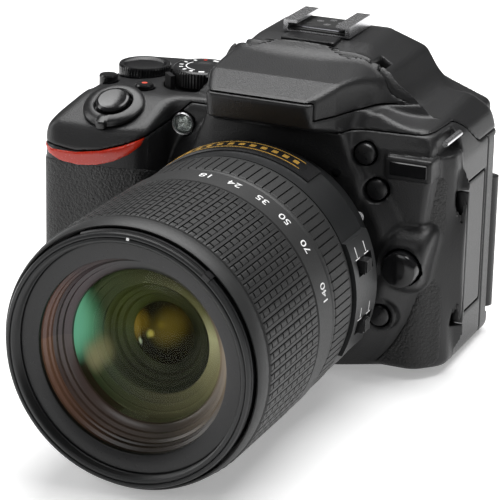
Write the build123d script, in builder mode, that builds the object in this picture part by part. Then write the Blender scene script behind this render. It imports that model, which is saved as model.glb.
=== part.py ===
"""Digital single-lens reflex camera with a zoom lens, as an assembly of separate pieces.

Millimetres. The origin is the mouth of the tripod socket in the base, +Z is up, the lens
points along -Y and +X is the side with the cable sockets. The grip is on the -X side.
"""

import os
from math import cos, radians, sin

from build123d import *

os.makedirs("parts", exist_ok=True)

# ---------------------------------------------------------------- driving dimensions
flange_y = -30.0            # lens flange, forward of the tripod socket
lens_z = 34.0               # lens axis above the base
sensor_depth = 46.5         # flange to image sensor

port_x = 53.0               # outer face of the cable socket side
grip_x = -71.4              # outer face of the grip side
grip_reach = 9.3            # grip front, forward of the flange
front_depth = 8.0           # front wall, behind the flange
rear_depth = 57.0           # rear wall, behind the flange
parting_depth = 46.0        # seam between front and rear covers, behind the flange
parting_z = 66.0            # seam below the top cover
deck_z = 76.0               # top deck over the grip
wall = 2.0                  # moulded wall
skin = 0.8                  # leatherette
gap = 0.35                  # clearance round moving pieces
seam = 0.3                  # clearance at flash and door seams
running = 0.05              # radial clearance of a pin in its hole
ease = 0.8                  # by which one outline stands outside the outline that trims it
reach = 200.0               # longer than the camera, for outlines cut right through it

mount_plane_depth = 2.0     # front of the mount housing, behind the flange
mount_radius = 37.0         # mount housing at its front
mount_flare = 44.0          # mount housing where it meets the front wall
throat_radius = 22.0        # clear bore of the lens mount
mount_ring_radius = 31.0    # outer edge of the metal mount ring

hump_left = -31.0           # viewfinder hump at its base
hump_right = 34.0
hump_waist = -23.6          # hump side beside the mode dial
hump_top_z = deck_z + 17.6
hump_front = 12.5           # hump front, forward of the flange
hump_rear = 59.0            # hump rear, behind the flange
lip_z = deck_z + 9.3                # top edge of the blank name plate
flash_floor_z = deck_z + 3.9        # floor of the flash well
flash_hinge_depth = 30.0    # flash hinge, behind the flange
flash_hinge_z = deck_z + 6.0
well_wall = 1.6             # wall under the flash well
nose_radius = 13.4          # fixed centre behind the flash head, about the flash hinge
nose_half = 15.5
ear_radius = 3.0
ear_width = 2.4
hinge_pin_radius = 1.2

lens_length = 97.0          # flange to the front rim
filter_radius = 33.5        # 67 mm filter thread; the lens rings follow from it
rim_radius = filter_radius + 2.9
ring_radius = rim_radius + 2.4      # zoom ring
focus_radius = ring_radius - 0.6    # focus ring
guide_radius = ring_radius - 3.8    # fixed tube that the rings turn on
guide_wall = 1.6
filter_depth = 3.0
name_ring_radius = filter_radius - 5.6   # inner edge of the blank name ring
glass_radius = filter_radius - 11.5      # front glass
glass_rear = 80.5
glass_front = 89.8
dome_radius = 45.0
cell_radius = 15.5          # opening behind the front glass
inner_glass_radius = 9.0
inner_glass_front = 74.5
inner_glass_rear = 69.0
focus_start = 27.4
focus_end = 43.3
zoom_start = 43.7
zoom_end = 94.3
slide_clearance = 0.25      # radial clearance between sliding lens tubes

monitor_left = -29.0        # monitor, seen from the front
monitor_right = 46.0
monitor_low = 6.5
monitor_high = 63.5
monitor_thick = 7.0
monitor_rear = 59.5         # rear face of the monitor, behind the flange
monitor_axis_x = 50.0
knuckle_radius = 2.9
knuckle_low = 8.0
knuckle_high = 50.0

socket_radius = 3.175       # quarter-inch tripod thread
socket_depth = 5.5
socket_bush_radius = 5.5

shoe_inner = 18.6           # accessory shoe channel width
shoe_mouth = 12.6
shoe_channel = 2.2
shoe_wall = 1.5
shoe_front_depth = 33.4
shoe_rear_depth = 51.0

button_tilt = 25.0          # forward slope of the grip top
release_x = -52.3
release_depth = 1.9
release_z = 72.0

LOW = (Align.CENTER, Align.CENTER, Align.MIN)
HIGH = (Align.CENTER, Align.CENTER, Align.MAX)

# ---------------------------------------------------------------- derived places
front_y = flange_y + front_depth
rear_y = flange_y + rear_depth
grip_y = flange_y - grip_reach
parting_y = flange_y + parting_depth
mount_y = flange_y + mount_plane_depth
hinge_y = flange_y + flash_hinge_depth
shoe_front_y = flange_y + shoe_front_depth
shoe_rear_y = flange_y + shoe_rear_depth
monitor_y = flange_y + monitor_rear
recess_y = monitor_y - monitor_thick - gap
monitor_axis_y = recess_y + gap + knuckle_radius

lens_axis = Axis((0, flange_y, lens_z), (0, -1, 0))
lens_plane = Plane(origin=(0, flange_y, lens_z), x_dir=(1, 0, 0), z_dir=(0, -1, 0))
lens_profile = Plane(origin=(0, flange_y, lens_z), x_dir=(1, 0, 0), z_dir=(0, 0, -1))
release_normal = (0, -sin(radians(button_tilt)), cos(radians(button_tilt)))
release_plane = Plane(
    origin=(release_x, flange_y + release_depth, release_z),
    x_dir=(1, 0, 0),
    z_dir=release_normal,
)


def facing_front(x, y, z):
    """Plane whose normal points forward, for buttons and lamps on the front."""
    return Plane(origin=(x, y, z), x_dir=(1, 0, 0), z_dir=(0, -1, 0))


def facing_rear(x, y, z):
    """Plane whose normal points to the rear."""
    return Plane(origin=(x, y, z), x_dir=(-1, 0, 0), z_dir=(0, 1, 0))


def block_between(low, high):
    """Box from its low corner to its high corner."""
    size = [high[i] - low[i] for i in range(3)]
    with BuildPart(Plane.XY.move(Location(low))) as block:
        Box(size[0], size[1], size[2], align=(Align.MIN, Align.MIN, Align.MIN))
    return block.part


def turned(*points):
    """Solid of revolution about the lens axis, from (radius, distance forward) points."""
    with BuildPart() as turning:
        with BuildSketch(lens_profile):
            with BuildLine():
                Polyline(*points, close=True)
            make_face()
        revolve(axis=lens_axis)
    return turning.part


def tube(outer, inner, start, end):
    """Straight ring about the lens axis between two distances forward of the flange."""
    return turned((inner, start), (outer, start), (outer, end), (inner, end))


def post(radius, x, y, low, high):
    """Upright cylinder."""
    with BuildPart(Plane(origin=(x, y, low))) as upright:
        Cylinder(radius, high - low, align=LOW)
    return upright.part


def cross_pin(radius, x_low, x_high, y, z):
    """Cylinder along X."""
    plane = Plane(origin=(x_low, y, z), x_dir=(0, 1, 0), z_dir=(1, 0, 0))
    with BuildPart(plane) as pin:
        Cylinder(radius, x_high - x_low, align=LOW)
    return pin.part


# ---------------------------------------------------------------- outer shape of the body
def outline_prism(plane, corners, radii, inset):
    """Rounded outline on a plane, moved inward by inset and cut right through both ways."""
    with BuildPart() as prism:
        with BuildSketch(plane):
            with BuildLine():
                FilletPolyline(*corners, radius=radii, close=True)
            make_face()
            offset(amount=-inset)
        extrude(amount=reach, both=True)
    return prism.part


def body_block(inset):
    """Body and grip without the mount housing and hump, moved inward by inset."""
    plan = [
        (grip_x, rear_y),
        (port_x, rear_y),
        (port_x, front_y + 9),
        (port_x - 8.5, front_y),
        (-36, front_y),
        (-38.5, grip_y + 3.5),
        (-52, grip_y),
        (grip_x + 5.5, grip_y + 2),
        (grip_x, grip_y + 13),
    ]
    side = [
        (grip_y + 2.5, 0),
        (grip_y, 18),
        (grip_y, 61),
        (grip_y + 2.5, 67.5),
        (front_y + 2, deck_z),
        (rear_y - 6, deck_z + 3),
        (rear_y + ease, deck_z - 6),
        (rear_y + ease, 0),
    ]
    front = [
        (grip_x - ease, -ease),
        (grip_x - ease, 66),
        (grip_x + 6, deck_z - 2),
        (-40, deck_z),
        (-24, deck_z + 3),
        (22, deck_z + 3),
        (port_x - 9, deck_z + 1.5),
        (port_x - 3, 72),
        (port_x + ease, 64),
        (port_x + ease, -ease),
    ]
    with BuildPart() as block:
        add(outline_prism(Plane.XY, plan, [9, 5, 4, 8, 4, 5, 20, 8, 14], inset))
        add(
            outline_prism(Plane.YZ, side, [3.2, 20, 6, 4, 12, 6, 5, 4], inset),
            mode=Mode.INTERSECT,
        )
        add(
            outline_prism(Plane.XZ, front, [4, 8, 5, 20, 20, 20, 6, 6, 6, 4], inset),
            mode=Mode.INTERSECT,
        )
    return block.part


def mount_housing(inset):
    """Raised round housing of the lens mount, with the neck that climbs to the hump."""
    with BuildPart() as housing:
        add(turned(
            (0, -mount_plane_depth - inset),
            (mount_radius - inset, -mount_plane_depth - inset),
            (mount_flare - inset, -front_depth - inset),
            (mount_flare - inset, -front_depth - 6),
            (0, -front_depth - 6),
        ))
        with BuildSketch(facing_front(0, mount_y + inset, 0)):
            with BuildLine():
                Polyline(
                    (-27, lens_z),
                    (27, lens_z),
                    (27, deck_z - 14),
                    (21, deck_z - 2),
                    (-22, deck_z - 2),
                    (-27, deck_z - 14),
                    close=True,
                )
            make_face()
            offset(amount=-inset)
        extrude(amount=-12)
        add(block_between((-60, -60, inset), (60, 40, 90)), mode=Mode.INTERSECT)
    return housing.part


def side_boss(x, z, radius, reach, inset):
    """Round boss on the front wall that carries a button."""
    with BuildPart(facing_front(x, front_y + 4, z)) as boss:
        Cone(radius + 1.5 - inset, radius - inset, reach + 4 - inset, align=LOW)
    return boss.part


hump_foot_z = deck_z - 6


def hump_block(inset):
    """Viewfinder hump, from the name plate overhang back to the eyepiece."""
    front = [
        (hump_left - ease, hump_foot_z - ease),
        (hump_left - ease, deck_z),
        (hump_left + 5, hump_top_z - 9.1),
        (-17, hump_top_z),
        (17, hump_top_z),
        (hump_right - 7, hump_top_z - 6.1),
        (hump_right + ease, deck_z),
        (hump_right + ease, hump_foot_z - ease),
    ]
    side = [
        (flange_y - hump_front + 3, deck_z + 1.2),
        (flange_y - hump_front, hump_top_z - 8.1),
        (flange_y, hump_top_z - 4.3),
        (flange_y + 20, hump_top_z - 2.3),
        (flange_y + 33, hump_top_z),
        (flange_y + 53, hump_top_z),
        (flange_y + hump_rear, hump_top_z - 5.6),
        (flange_y + hump_rear, hump_foot_z),
        (flange_y + 4, hump_foot_z),
        (mount_y, deck_z - 2),
    ]
    plan = [
        (-15.5, flange_y - hump_front - 0.5),
        (15.5, flange_y - hump_front - 0.5),
        (21, flange_y - 2),
        (26, flange_y + 13),
        (hump_right, flange_y + 34),
        (hump_right, flange_y + hump_rear + 1),
        (hump_left, flange_y + hump_rear + 1),
        (hump_left, flange_y + 44),
        (hump_waist, flange_y + 37),
        (hump_waist + 2, flange_y + 13),
        (-19.5, flange_y - 2),
    ]
    with BuildPart() as hump:
        add(outline_prism(Plane.XZ, front, [3, 6, 8, 6, 6, 6, 4, 3], inset))
        add(
            outline_prism(Plane.YZ, side, [2, 3, 0, 0, 0, 5, 4, 0, 0, 0], inset),
            mode=Mode.INTERSECT,
        )
        add(
            outline_prism(Plane.XY, plan, [3, 3, 0, 0, 0, 5, 5, 0, 0, 0, 0], inset),
            mode=Mode.INTERSECT,
        )
    return hump.part


flash_button_x, flash_button_z = 28.0, 68.0
function_button_x, function_button_z = 32.0, 57.5
lens_release_x, lens_release_z = 42.0, 36.0
small_button_radius = 3.2
lens_release_radius = 5.4


def body_shape(inset):
    """Whole outer shape of the camera body, moved inward by inset."""
    with BuildPart() as shape:
        add(body_block(inset))
        add(mount_housing(inset))
        add(hump_block(inset))
        add(side_boss(flash_button_x, flash_button_z, small_button_radius + 1.5, 2.5, inset))
        add(side_boss(function_button_x, function_button_z, small_button_radius + 1.5, 2.5, inset))
        add(side_boss(lens_release_x, lens_release_z, lens_release_radius + 2.2, 7.0, inset))
    return shape.part


outer_shape = body_shape(0.01)
under_skin = body_shape(skin)
inner_shape = body_shape(wall)
hump_shape = hump_block(0.01)


def flash_nose(growth):
    """Fixed centre behind the flash head: a double cone about the flash hinge."""
    low_end = hump_waist - 1.0
    high_end = hump_right - 3.5
    end_radius = ear_radius + 1.8 + growth
    plane = Plane(origin=(0, hinge_y, flash_hinge_z), x_dir=(1, 0, 0), z_dir=(0, -1, 0))
    with BuildPart() as nose:
        with BuildSketch(plane):
            with BuildLine():
                Polyline(
                    (low_end, 0),
                    (low_end, end_radius),
                    (-nose_half, nose_radius + growth),
                    (nose_half, nose_radius + growth),
                    (high_end, end_radius),
                    (high_end, 0),
                    close=True,
                )
            make_face()
        revolve(axis=Axis((0, hinge_y, flash_hinge_z), (1, 0, 0)))
    return nose.part


ear_left = hump_waist + 0.6
ear_right = hump_right - 6.4


def flash_zone(growth):
    """Room of the flash head: above the well floor, in front of the nose."""
    with BuildPart() as zone:
        add(block_between(
            (hump_left - 5, flange_y - hump_front - 8, flash_floor_z + seam - growth),
            (hump_right + 5, hinge_y, 110),
        ))
        add(flash_nose(seam - growth), mode=Mode.SUBTRACT)
        add(block_between(
            (hump_left - 5, flange_y - hump_front - 9, 60),
            (hump_right + 5, flange_y - hump_front + 3.4 - growth, lip_z + seam - growth),
        ), mode=Mode.SUBTRACT)
        for ear_x in (ear_left, ear_right):
            add(cross_pin(
                ear_radius + growth,
                ear_x - growth,
                ear_x + ear_width + growth,
                hinge_y,
                flash_hinge_z,
            ))
            add(block_between(
                (ear_x - growth, hinge_y - nose_radius, flash_hinge_z - 1.6 - growth),
                (ear_x + ear_width + growth, hinge_y, flash_hinge_z + 1.6 + growth),
            ))
    return zone.part


# ---------------------------------------------------------------- leatherette and accent
leather_low = 3.5
leather_high = 56.0
leather_inner_x = -37.2
strip_left_x = 30.0

with BuildPart() as leather_zone:
    add(block_between(
        (grip_x - 1, grip_y - 1, leather_low),
        (leather_inner_x, front_y + 9, leather_high),
    ))
    add(block_between(
        (strip_left_x, front_y - 1, leather_low + 1),
        (port_x - 3.2, front_y + 7, leather_high + 6),
    ))
    add(turned(
        (0, -front_depth - 20),
        (mount_flare + 1, -front_depth - 20),
        (mount_flare + 1, 20),
        (0, 20),
    ), mode=Mode.SUBTRACT)
    add(block_between(
        (strip_left_x, front_y - 9, lens_release_z - 6),
        (port_x - 3, front_y + 20, lens_release_z + 12),
    ), mode=Mode.SUBTRACT)

with BuildPart() as leather_panels:
    add(outer_shape)
    add(under_skin, mode=Mode.SUBTRACT)
    add(leather_zone.part, mode=Mode.INTERSECT)
leather_panels.part.label = "leather_panels"

with BuildPart() as grip_accent:
    add(outer_shape)
    add(under_skin, mode=Mode.SUBTRACT)
    with BuildSketch(Plane.XZ.offset(-grip_y + 2)):
        with BuildLine():
            Line((grip_x - 0.5, 58.6), (-38.6, 65.6))
            Line((-38.6, 65.6), (-38.6, 64.2))
            ThreePointArc((-38.6, 64.2), (-53, 57.4), (grip_x - 0.5, 57.4))
            Line((grip_x - 0.5, 57.4), (grip_x - 0.5, 58.6))
        make_face()
    extrude(amount=16, both=True, mode=Mode.INTERSECT)
grip_accent.part.label = "grip_accent"

# ---------------------------------------------------------------- doors and panel openings
battery_door_low = (-66.5, grip_y + 4.8)
battery_door_high = (-45.5, grip_y + 44.0)
door_thick = 2.0
card_door_low = (front_y + 9.5, 20.0)
card_door_high = (front_y + 31.5, 56.0)
port_door_low = (front_y + 11.0, 14.0)
port_door_high = (front_y + 36.0, 55.5)
side_door_thick = 1.8
door_pivot = side_door_thick / 2


def tripod_bush(growth):
    """Room of the threaded bush in the base."""
    with BuildPart(Plane.XY) as bush:
        Cylinder(socket_bush_radius + growth, socket_depth + 1.5, align=LOW)
    return bush.part


mode_dial_x, mode_dial_y = -34.3, flange_y + 26.7
mode_dial_radius = 9.4
mode_dial_top = deck_z + 5.2
mode_dial_low = deck_z - 0.6
command_dial_x, command_dial_y = -57.0, flange_y + 33.0
command_dial_radius = 8.2
command_dial_top = deck_z + 1.6
command_dial_low = deck_z - 2.6
lever_radius = 11.6
lever_low = deck_z - 2.1
lever_high = deck_z - 0.9
movie_x, movie_y = -48.6, flange_y + 15.2
exposure_x, exposure_y = -63.0, flange_y + 19.5
top_button_radius = 2.9
top_button_top = deck_z + 0.6
button_length = 4.0
power_radius = 9.7
power_low = 0.4
power_high = 2.6
release_radius = 5.1
drive_x, drive_z = 35.0, 19.4
lamp_x, lamp_z = -32.0, 68.0
lamp_radius = 3.3
eyelet_y = flange_y + 17.5
eyelet_z = deck_z - 4.5

# ---------------------------------------------------------------- front cover
with BuildPart() as front_cover:
    add(outer_shape)
    add(inner_shape, mode=Mode.SUBTRACT)
    add(block_between((-90, -60, -1), (90, parting_y, parting_z)), mode=Mode.INTERSECT)
    add(leather_panels.part, mode=Mode.SUBTRACT)
    add(grip_accent.part, mode=Mode.SUBTRACT)
    add(turned(
        (0, -front_depth - 6),
        (throat_radius + 3, -front_depth - 6),
        (throat_radius + 3, 2),
        (0, 2),
    ), mode=Mode.SUBTRACT)
    add(tripod_bush(0), mode=Mode.SUBTRACT)
    add(block_between(
        (battery_door_low[0] - seam, battery_door_low[1] - seam, -1),
        (battery_door_high[0] + seam, battery_door_high[1] + seam, wall + 2),
    ), mode=Mode.SUBTRACT)
    add(block_between(
        (grip_x - 1, card_door_low[0] - seam, card_door_low[1] - seam),
        (grip_x + wall + 1, card_door_high[0] + seam, card_door_high[1] + seam),
    ), mode=Mode.SUBTRACT)
    add(block_between(
        (port_x - wall - 1, port_door_low[0] - seam, port_door_low[1] - seam),
        (port_x + 1, port_door_high[0] + seam, port_door_high[1] + seam),
    ), mode=Mode.SUBTRACT)
    for x, z, radius in (
        (function_button_x, function_button_z, small_button_radius),
        (lens_release_x, lens_release_z, lens_release_radius),
        (drive_x, drive_z, small_button_radius),
        (flash_button_x, flash_button_z, small_button_radius),
        (lamp_x, lamp_z, lamp_radius - gap),
    ):
        with Locations(facing_front(x, front_y + 12, z)):
            Cylinder(radius + gap, 40, align=LOW, mode=Mode.SUBTRACT)
front_cover.part.label = "front_cover"

# ---------------------------------------------------------------- rear cover
recess_low = (monitor_left - gap, recess_y, monitor_low - gap)
recess_high = (port_x + 5, monitor_y + 5, monitor_high + gap)
rear_button_radius = 3.3
rear_button_places = {
    "playback_button": (-38.5, 58.0),
    "info_edit_button": (-54.0, 54.0),
    "zoom_in_button": (-36.5, 16.0),
    "zoom_out_button": (-47.5, 11.0),
    "delete_button": (-60.0, 13.0),
}
selector_x, selector_z = -49.5, 36.0
selector_radius = 10.5

with BuildPart() as rear_cavity:
    add(inner_shape)
    add(block_between(
        (recess_low[0] - wall, recess_low[1] - wall, recess_low[2] - wall),
        (recess_high[0], recess_high[1], recess_high[2] + wall),
    ), mode=Mode.SUBTRACT)

with BuildPart() as rear_cover:
    add(outer_shape)
    add(rear_cavity.part, mode=Mode.SUBTRACT)
    add(block_between((-90, parting_y, -1), (90, 60, parting_z)), mode=Mode.INTERSECT)
    add(block_between(recess_low, recess_high), mode=Mode.SUBTRACT)
    with Locations(facing_rear(selector_x, rear_y - 8, selector_z)):
        Cylinder(selector_radius + gap, 20, align=LOW, mode=Mode.SUBTRACT)
    for x, z in rear_button_places.values():
        with Locations(facing_rear(x, rear_y - 8, z)):
            Cylinder(rear_button_radius + gap, 20, align=LOW, mode=Mode.SUBTRACT)
rear_cover.part.label = "rear_cover"

# ---------------------------------------------------------------- top cover
menu_x, menu_z = 40.0, 70.5
lock_x, lock_z = -35.5, 70.5
eye_z = deck_z + 5.0

with BuildPart() as nose_block:
    add(flash_nose(0))
    add(block_between((-60, -60, flash_floor_z - well_wall), (60, 60, 120)), mode=Mode.INTERSECT)

with BuildPart() as top_cavity:
    add(inner_shape)
    add(block_between(
        (-60, -60, flash_floor_z - well_wall),
        (60, hinge_y + 15, flash_floor_z),
    ), mode=Mode.SUBTRACT)
    add(nose_block.part, mode=Mode.SUBTRACT)
    for x, y, radius, low in (
        (mode_dial_x, mode_dial_y, lever_radius, lever_low),
        (command_dial_x, command_dial_y, command_dial_radius, command_dial_low),
    ):
        add(
            post(radius + gap + wall, x, y, low - gap - wall, deck_z + 20),
            mode=Mode.SUBTRACT,
        )

with BuildPart() as top_cover:
    add(outer_shape)
    add(top_cavity.part, mode=Mode.SUBTRACT)
    add(block_between((-90, -60, parting_z), (90, 60, 120)), mode=Mode.INTERSECT)
    add(flash_zone(seam), mode=Mode.SUBTRACT)
    for ear_x in (ear_left, ear_right):
        add(cross_pin(
            hinge_pin_radius + running,
            ear_x - 4,
            ear_x + ear_width + 4,
            hinge_y,
            flash_hinge_z,
        ), mode=Mode.SUBTRACT)
        add(block_between(
            (ear_x - seam, hinge_y - nose_radius - 1, flash_hinge_z),
            (ear_x + ear_width + seam, hinge_y, hump_top_z + 5),
        ), mode=Mode.SUBTRACT)
    for x, y, radius, low in (
        (mode_dial_x, mode_dial_y, lever_radius + gap, lever_low - gap),
        (command_dial_x, command_dial_y, command_dial_radius + gap, command_dial_low - gap),
        (movie_x, movie_y, top_button_radius + gap, deck_z - 8),
        (exposure_x, exposure_y, top_button_radius + gap, deck_z - 8),
    ):
        add(post(radius, x, y, low, deck_z + 3.2), mode=Mode.SUBTRACT)
    with Locations(release_plane):
        Cylinder(power_radius + gap, 12, align=LOW, mode=Mode.SUBTRACT)
        Cylinder(release_radius - 1 + gap, 20, mode=Mode.SUBTRACT)
    with Locations(facing_front(flash_button_x, front_y + 12, flash_button_z)):
        Cylinder(small_button_radius + gap, 40, align=LOW, mode=Mode.SUBTRACT)
    with Locations(facing_front(lamp_x, front_y + 6, lamp_z)):
        Cylinder(lamp_radius, 20, align=LOW, mode=Mode.SUBTRACT)
    for x, z in ((menu_x, menu_z), (lock_x, lock_z)):
        with Locations(facing_rear(x, rear_y - 8, z)):
            Cylinder(rear_button_radius + gap, 20, align=LOW, mode=Mode.SUBTRACT)
    add(block_between(
        (-11, flange_y + 44, eye_z - 7),
        (11, flange_y + hump_rear + 5, eye_z + 7),
    ), mode=Mode.SUBTRACT)
    for x_low, x_high in ((port_x - 5.5, port_x + 5), (grip_x - 5, grip_x + 5.5)):
        add(block_between(
            (x_low, eyelet_y - 6, eyelet_z - 4),
            (x_high, eyelet_y + 6, 90),
        ), mode=Mode.SUBTRACT)
top_cover.part.label = "top_cover"


# ---------------------------------------------------------------- pieces fixed in the body
screen_z = lens_z + 17.6
box_front_y = flange_y + 5.0
shutter_y = flange_y + 41.5
shutter_thick = 3.6

with BuildPart() as body_mount:
    add(tube(mount_ring_radius, throat_radius, -mount_plane_depth, 0))
    add(tube(throat_radius + 2.5, throat_radius, -mount_plane_depth - 3, -mount_plane_depth))
body_mount.part.label = "body_mount"

with BuildPart() as mirror_box:
    add(block_between((-20, box_front_y, lens_z - 20), (20, shutter_y, screen_z - 0.4)))
    add(block_between(
        (-18.4, box_front_y - 1, lens_z - 18.4),
        (18.4, shutter_y + 1, screen_z + 1),
    ), mode=Mode.SUBTRACT)
mirror_box.part.label = "mirror_box"

with BuildPart() as focusing_screen:
    add(block_between((-14, flange_y + 12, screen_z), (14, flange_y + 37, screen_z + 1.2)))
focusing_screen.part.label = "focusing_screen"

with BuildPart() as pentamirror:
    with BuildSketch(Plane.XZ.offset(-flange_y - 14)):
        with BuildLine():
            Polyline((-15, 54), (15, 54), (15, 64), (0, 77.6), (-15, 64), close=True)
        make_face()
    extrude(amount=-27)
pentamirror.part.label = "pentamirror"

with BuildPart() as eyepiece_lens:
    add(block_between((-10, flange_y + 48, eye_z - 6), (10, flange_y + 53, eye_z + 6)))
eyepiece_lens.part.label = "eyepiece_lens"

with BuildPart() as eyecup:
    add(block_between(
        (-17, flange_y + hump_rear + 0.05, eye_z - 9),
        (17, flange_y + hump_rear + 4, eye_z + 9.5),
    ))
    fillet(eyecup.edges().filter_by(Axis.Y), 5)
    add(block_between(
        (-11, flange_y + 50, eye_z - 7),
        (11, flange_y + 70, eye_z + 7),
    ), mode=Mode.SUBTRACT)
eyecup.part.label = "eyecup"

with BuildPart() as shutter_frame:
    add(block_between((-24, shutter_y + 0.1, 6), (24, shutter_y + shutter_thick, lens_z + 22)))
    add(block_between(
        (-12.2, shutter_y - 1, lens_z - 8.2),
        (12.2, shutter_y + 6, lens_z + 8.2),
    ), mode=Mode.SUBTRACT)
    add(block_between(
        (-14, shutter_y + 1.2, 7.5),
        (14, shutter_y + 2.4, lens_z + 10),
    ), mode=Mode.SUBTRACT)
shutter_frame.part.label = "shutter_frame"

with BuildPart() as shutter_curtain:
    add(block_between((-13.6, shutter_y + 1.5, lens_z - 8.8), (13.6, shutter_y + 2.1, lens_z + 8.8)))
shutter_curtain.part.label = "shutter_curtain"

with BuildPart() as image_sensor:
    add(block_between(
        (-18, flange_y + sensor_depth, lens_z - 14),
        (18, flange_y + sensor_depth + 1.6, lens_z + 14),
    ))
    add(block_between(
        (-11.75, flange_y + sensor_depth - 1.0, lens_z - 7.8),
        (11.75, flange_y + sensor_depth, lens_z + 7.8),
    ))
image_sensor.part.label = "image_sensor"

with BuildPart() as tripod_socket:
    add(tripod_bush(0))
    with Locations(Plane.XY):
        Cylinder(socket_radius, socket_depth, align=LOW, mode=Mode.SUBTRACT)
tripod_socket.part.label = "tripod_socket"

with BuildPart() as battery:
    add(block_between((-64, battery_door_low[1] + 0.8, 2.4), (-50, battery_door_low[1] + 38.6, 55)))
    fillet(battery.edges().filter_by(Axis.Z), 2)
battery.part.label = "battery"

with BuildPart() as port_sockets:
    socket_x = port_x - side_door_thick - 0.8
    for low, high in ((17.0, 24.0), (28.0, 33.0), (38.0, 46.0)):
        add(block_between((socket_x - 6, front_y + 15, low), (socket_x, front_y + 30, high)))
    add(block_between((socket_x - 8, front_y + 12.5, 15.5), (socket_x - 6, front_y + 34, 54)))
port_sockets.part.label = "port_sockets"

shoe_base_z = hump_top_z + 0.5
with BuildPart() as hot_shoe:
    half = shoe_inner / 2 + shoe_wall
    mouth = shoe_mouth / 2
    top_z = shoe_base_z + shoe_channel + 0.9
    add(block_between((-half, shoe_front_y, hump_top_z + 0.05), (half, shoe_rear_y, top_z)))
    add(block_between(
        (-shoe_inner / 2, shoe_front_y - 1, shoe_base_z),
        (shoe_inner / 2, shoe_rear_y + 1, shoe_base_z + shoe_channel),
    ), mode=Mode.SUBTRACT)
    add(block_between(
        (-mouth, shoe_front_y - 1, shoe_base_z),
        (mouth, shoe_rear_y + 1, top_z + 1),
    ), mode=Mode.SUBTRACT)
hot_shoe.part.label = "hot_shoe"


def strap_loop(x_low, x_high):
    """Steel strap bar standing in its shoulder pocket."""
    with BuildPart() as loop:
        add(block_between(
            (x_low, eyelet_y - 5.6, eyelet_z - 3.8),
            (x_high, eyelet_y + 5.6, eyelet_z + 1.4),
        ))
        add(block_between(
            (x_low - 1, eyelet_y - 4.2, eyelet_z - 2.4),
            (x_high + 1, eyelet_y + 4.2, eyelet_z),
        ), mode=Mode.SUBTRACT)
    return loop.part


with BuildPart() as strap_eyelets:
    add(strap_loop(port_x - 4.0, port_x - 2.4))
    add(strap_loop(grip_x + 2.4, grip_x + 4.0))
strap_eyelets.part.label = "strap_eyelets"

with BuildPart(facing_front(lamp_x, front_y + 2.4, lamp_z)) as af_assist_lamp:
    Cylinder(lamp_radius - running, 3.0, align=LOW)
af_assist_lamp.part.label = "af_assist_lamp"

with BuildPart() as screws:
    for angle in (54, 126, 234, 306):
        x = (mount_radius - 2.4) * cos(radians(angle))
        z = lens_z + (mount_radius - 2.4) * sin(radians(angle))
        with Locations(facing_front(x, mount_y, z)):
            Cylinder(1.4, 0.5, align=LOW)
screws.part.label = "screws"

# ---------------------------------------------------------------- lens
bush_radius = guide_radius - guide_wall
tail = -4.5
panel_radius = ring_radius + 0.2
switch_heights = (9.0, -9.0)
switch_floor_x = guide_radius + 0.6
switch_slot_y = flange_y - 24.0
switch_slot_length = 11.0
switch_size = 4.0

with BuildPart() as lens_mount:
    add(tube(mount_ring_radius - 1, throat_radius - 3.0, 0, 1.6))
    add(tube(throat_radius - 0.3, throat_radius - 2.2, tail, 0))
lens_mount.part.label = "lens_mount"

with BuildPart() as switch_panel:
    add(tube(panel_radius, guide_radius, 11, focus_start - 0.4))
    add(block_between(
        (30, flange_y - 40, lens_z - 17),
        (45, flange_y, lens_z + 17),
    ), mode=Mode.INTERSECT)

with BuildPart() as lens_barrel:
    add(turned(
        (bush_radius, 1.6),
        (guide_radius - 0.8, 1.6),
        (guide_radius + 1.6, 10),
        (guide_radius + 2.8, 12),
        (guide_radius + 2.8, focus_start - 0.4),
        (guide_radius, focus_start - 0.4),
        (guide_radius, 88),
        (bush_radius, 88),
    ))
    add(switch_panel.part)
    for height in switch_heights:
        add(block_between(
            (switch_floor_x, switch_slot_y, lens_z + height - 2.4),
            (panel_radius + 3, switch_slot_y + switch_slot_length, lens_z + height + 2.4),
        ), mode=Mode.SUBTRACT)
lens_barrel.part.label = "lens_barrel"


def lens_switch(height):
    """Slide switch in its slot on the side of the lens."""
    y_low = switch_slot_y + 2.0
    return block_between(
        (switch_floor_x + gap, y_low, lens_z + height - 2.0),
        (panel_radius + 0.4, y_low + switch_size, lens_z + height + 2.0),
    )


with BuildPart() as focus_switch:
    add(lens_switch(9.0))
focus_switch.part.label = "focus_switch"

with BuildPart() as stabiliser_switch:
    add(lens_switch(-9.0))
stabiliser_switch.part.label = "stabiliser_switch"

with BuildPart() as focus_ring:
    add(tube(focus_radius, guide_radius + slide_clearance, focus_start, focus_end))
focus_ring.part.label = "focus_ring"

with BuildPart() as zoom_ring:
    add(turned(
        (guide_radius + slide_clearance, zoom_start),
        (ring_radius - 0.3, zoom_start),
        (ring_radius, zoom_start + 2),
        (ring_radius, zoom_end - 1),
        (ring_radius - 0.8, zoom_end),
        (rim_radius + 0.8, zoom_end),
        (rim_radius + 0.8, 88.6),
        (guide_radius + slide_clearance, 88.6),
    ))
zoom_ring.part.label = "zoom_ring"

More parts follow.
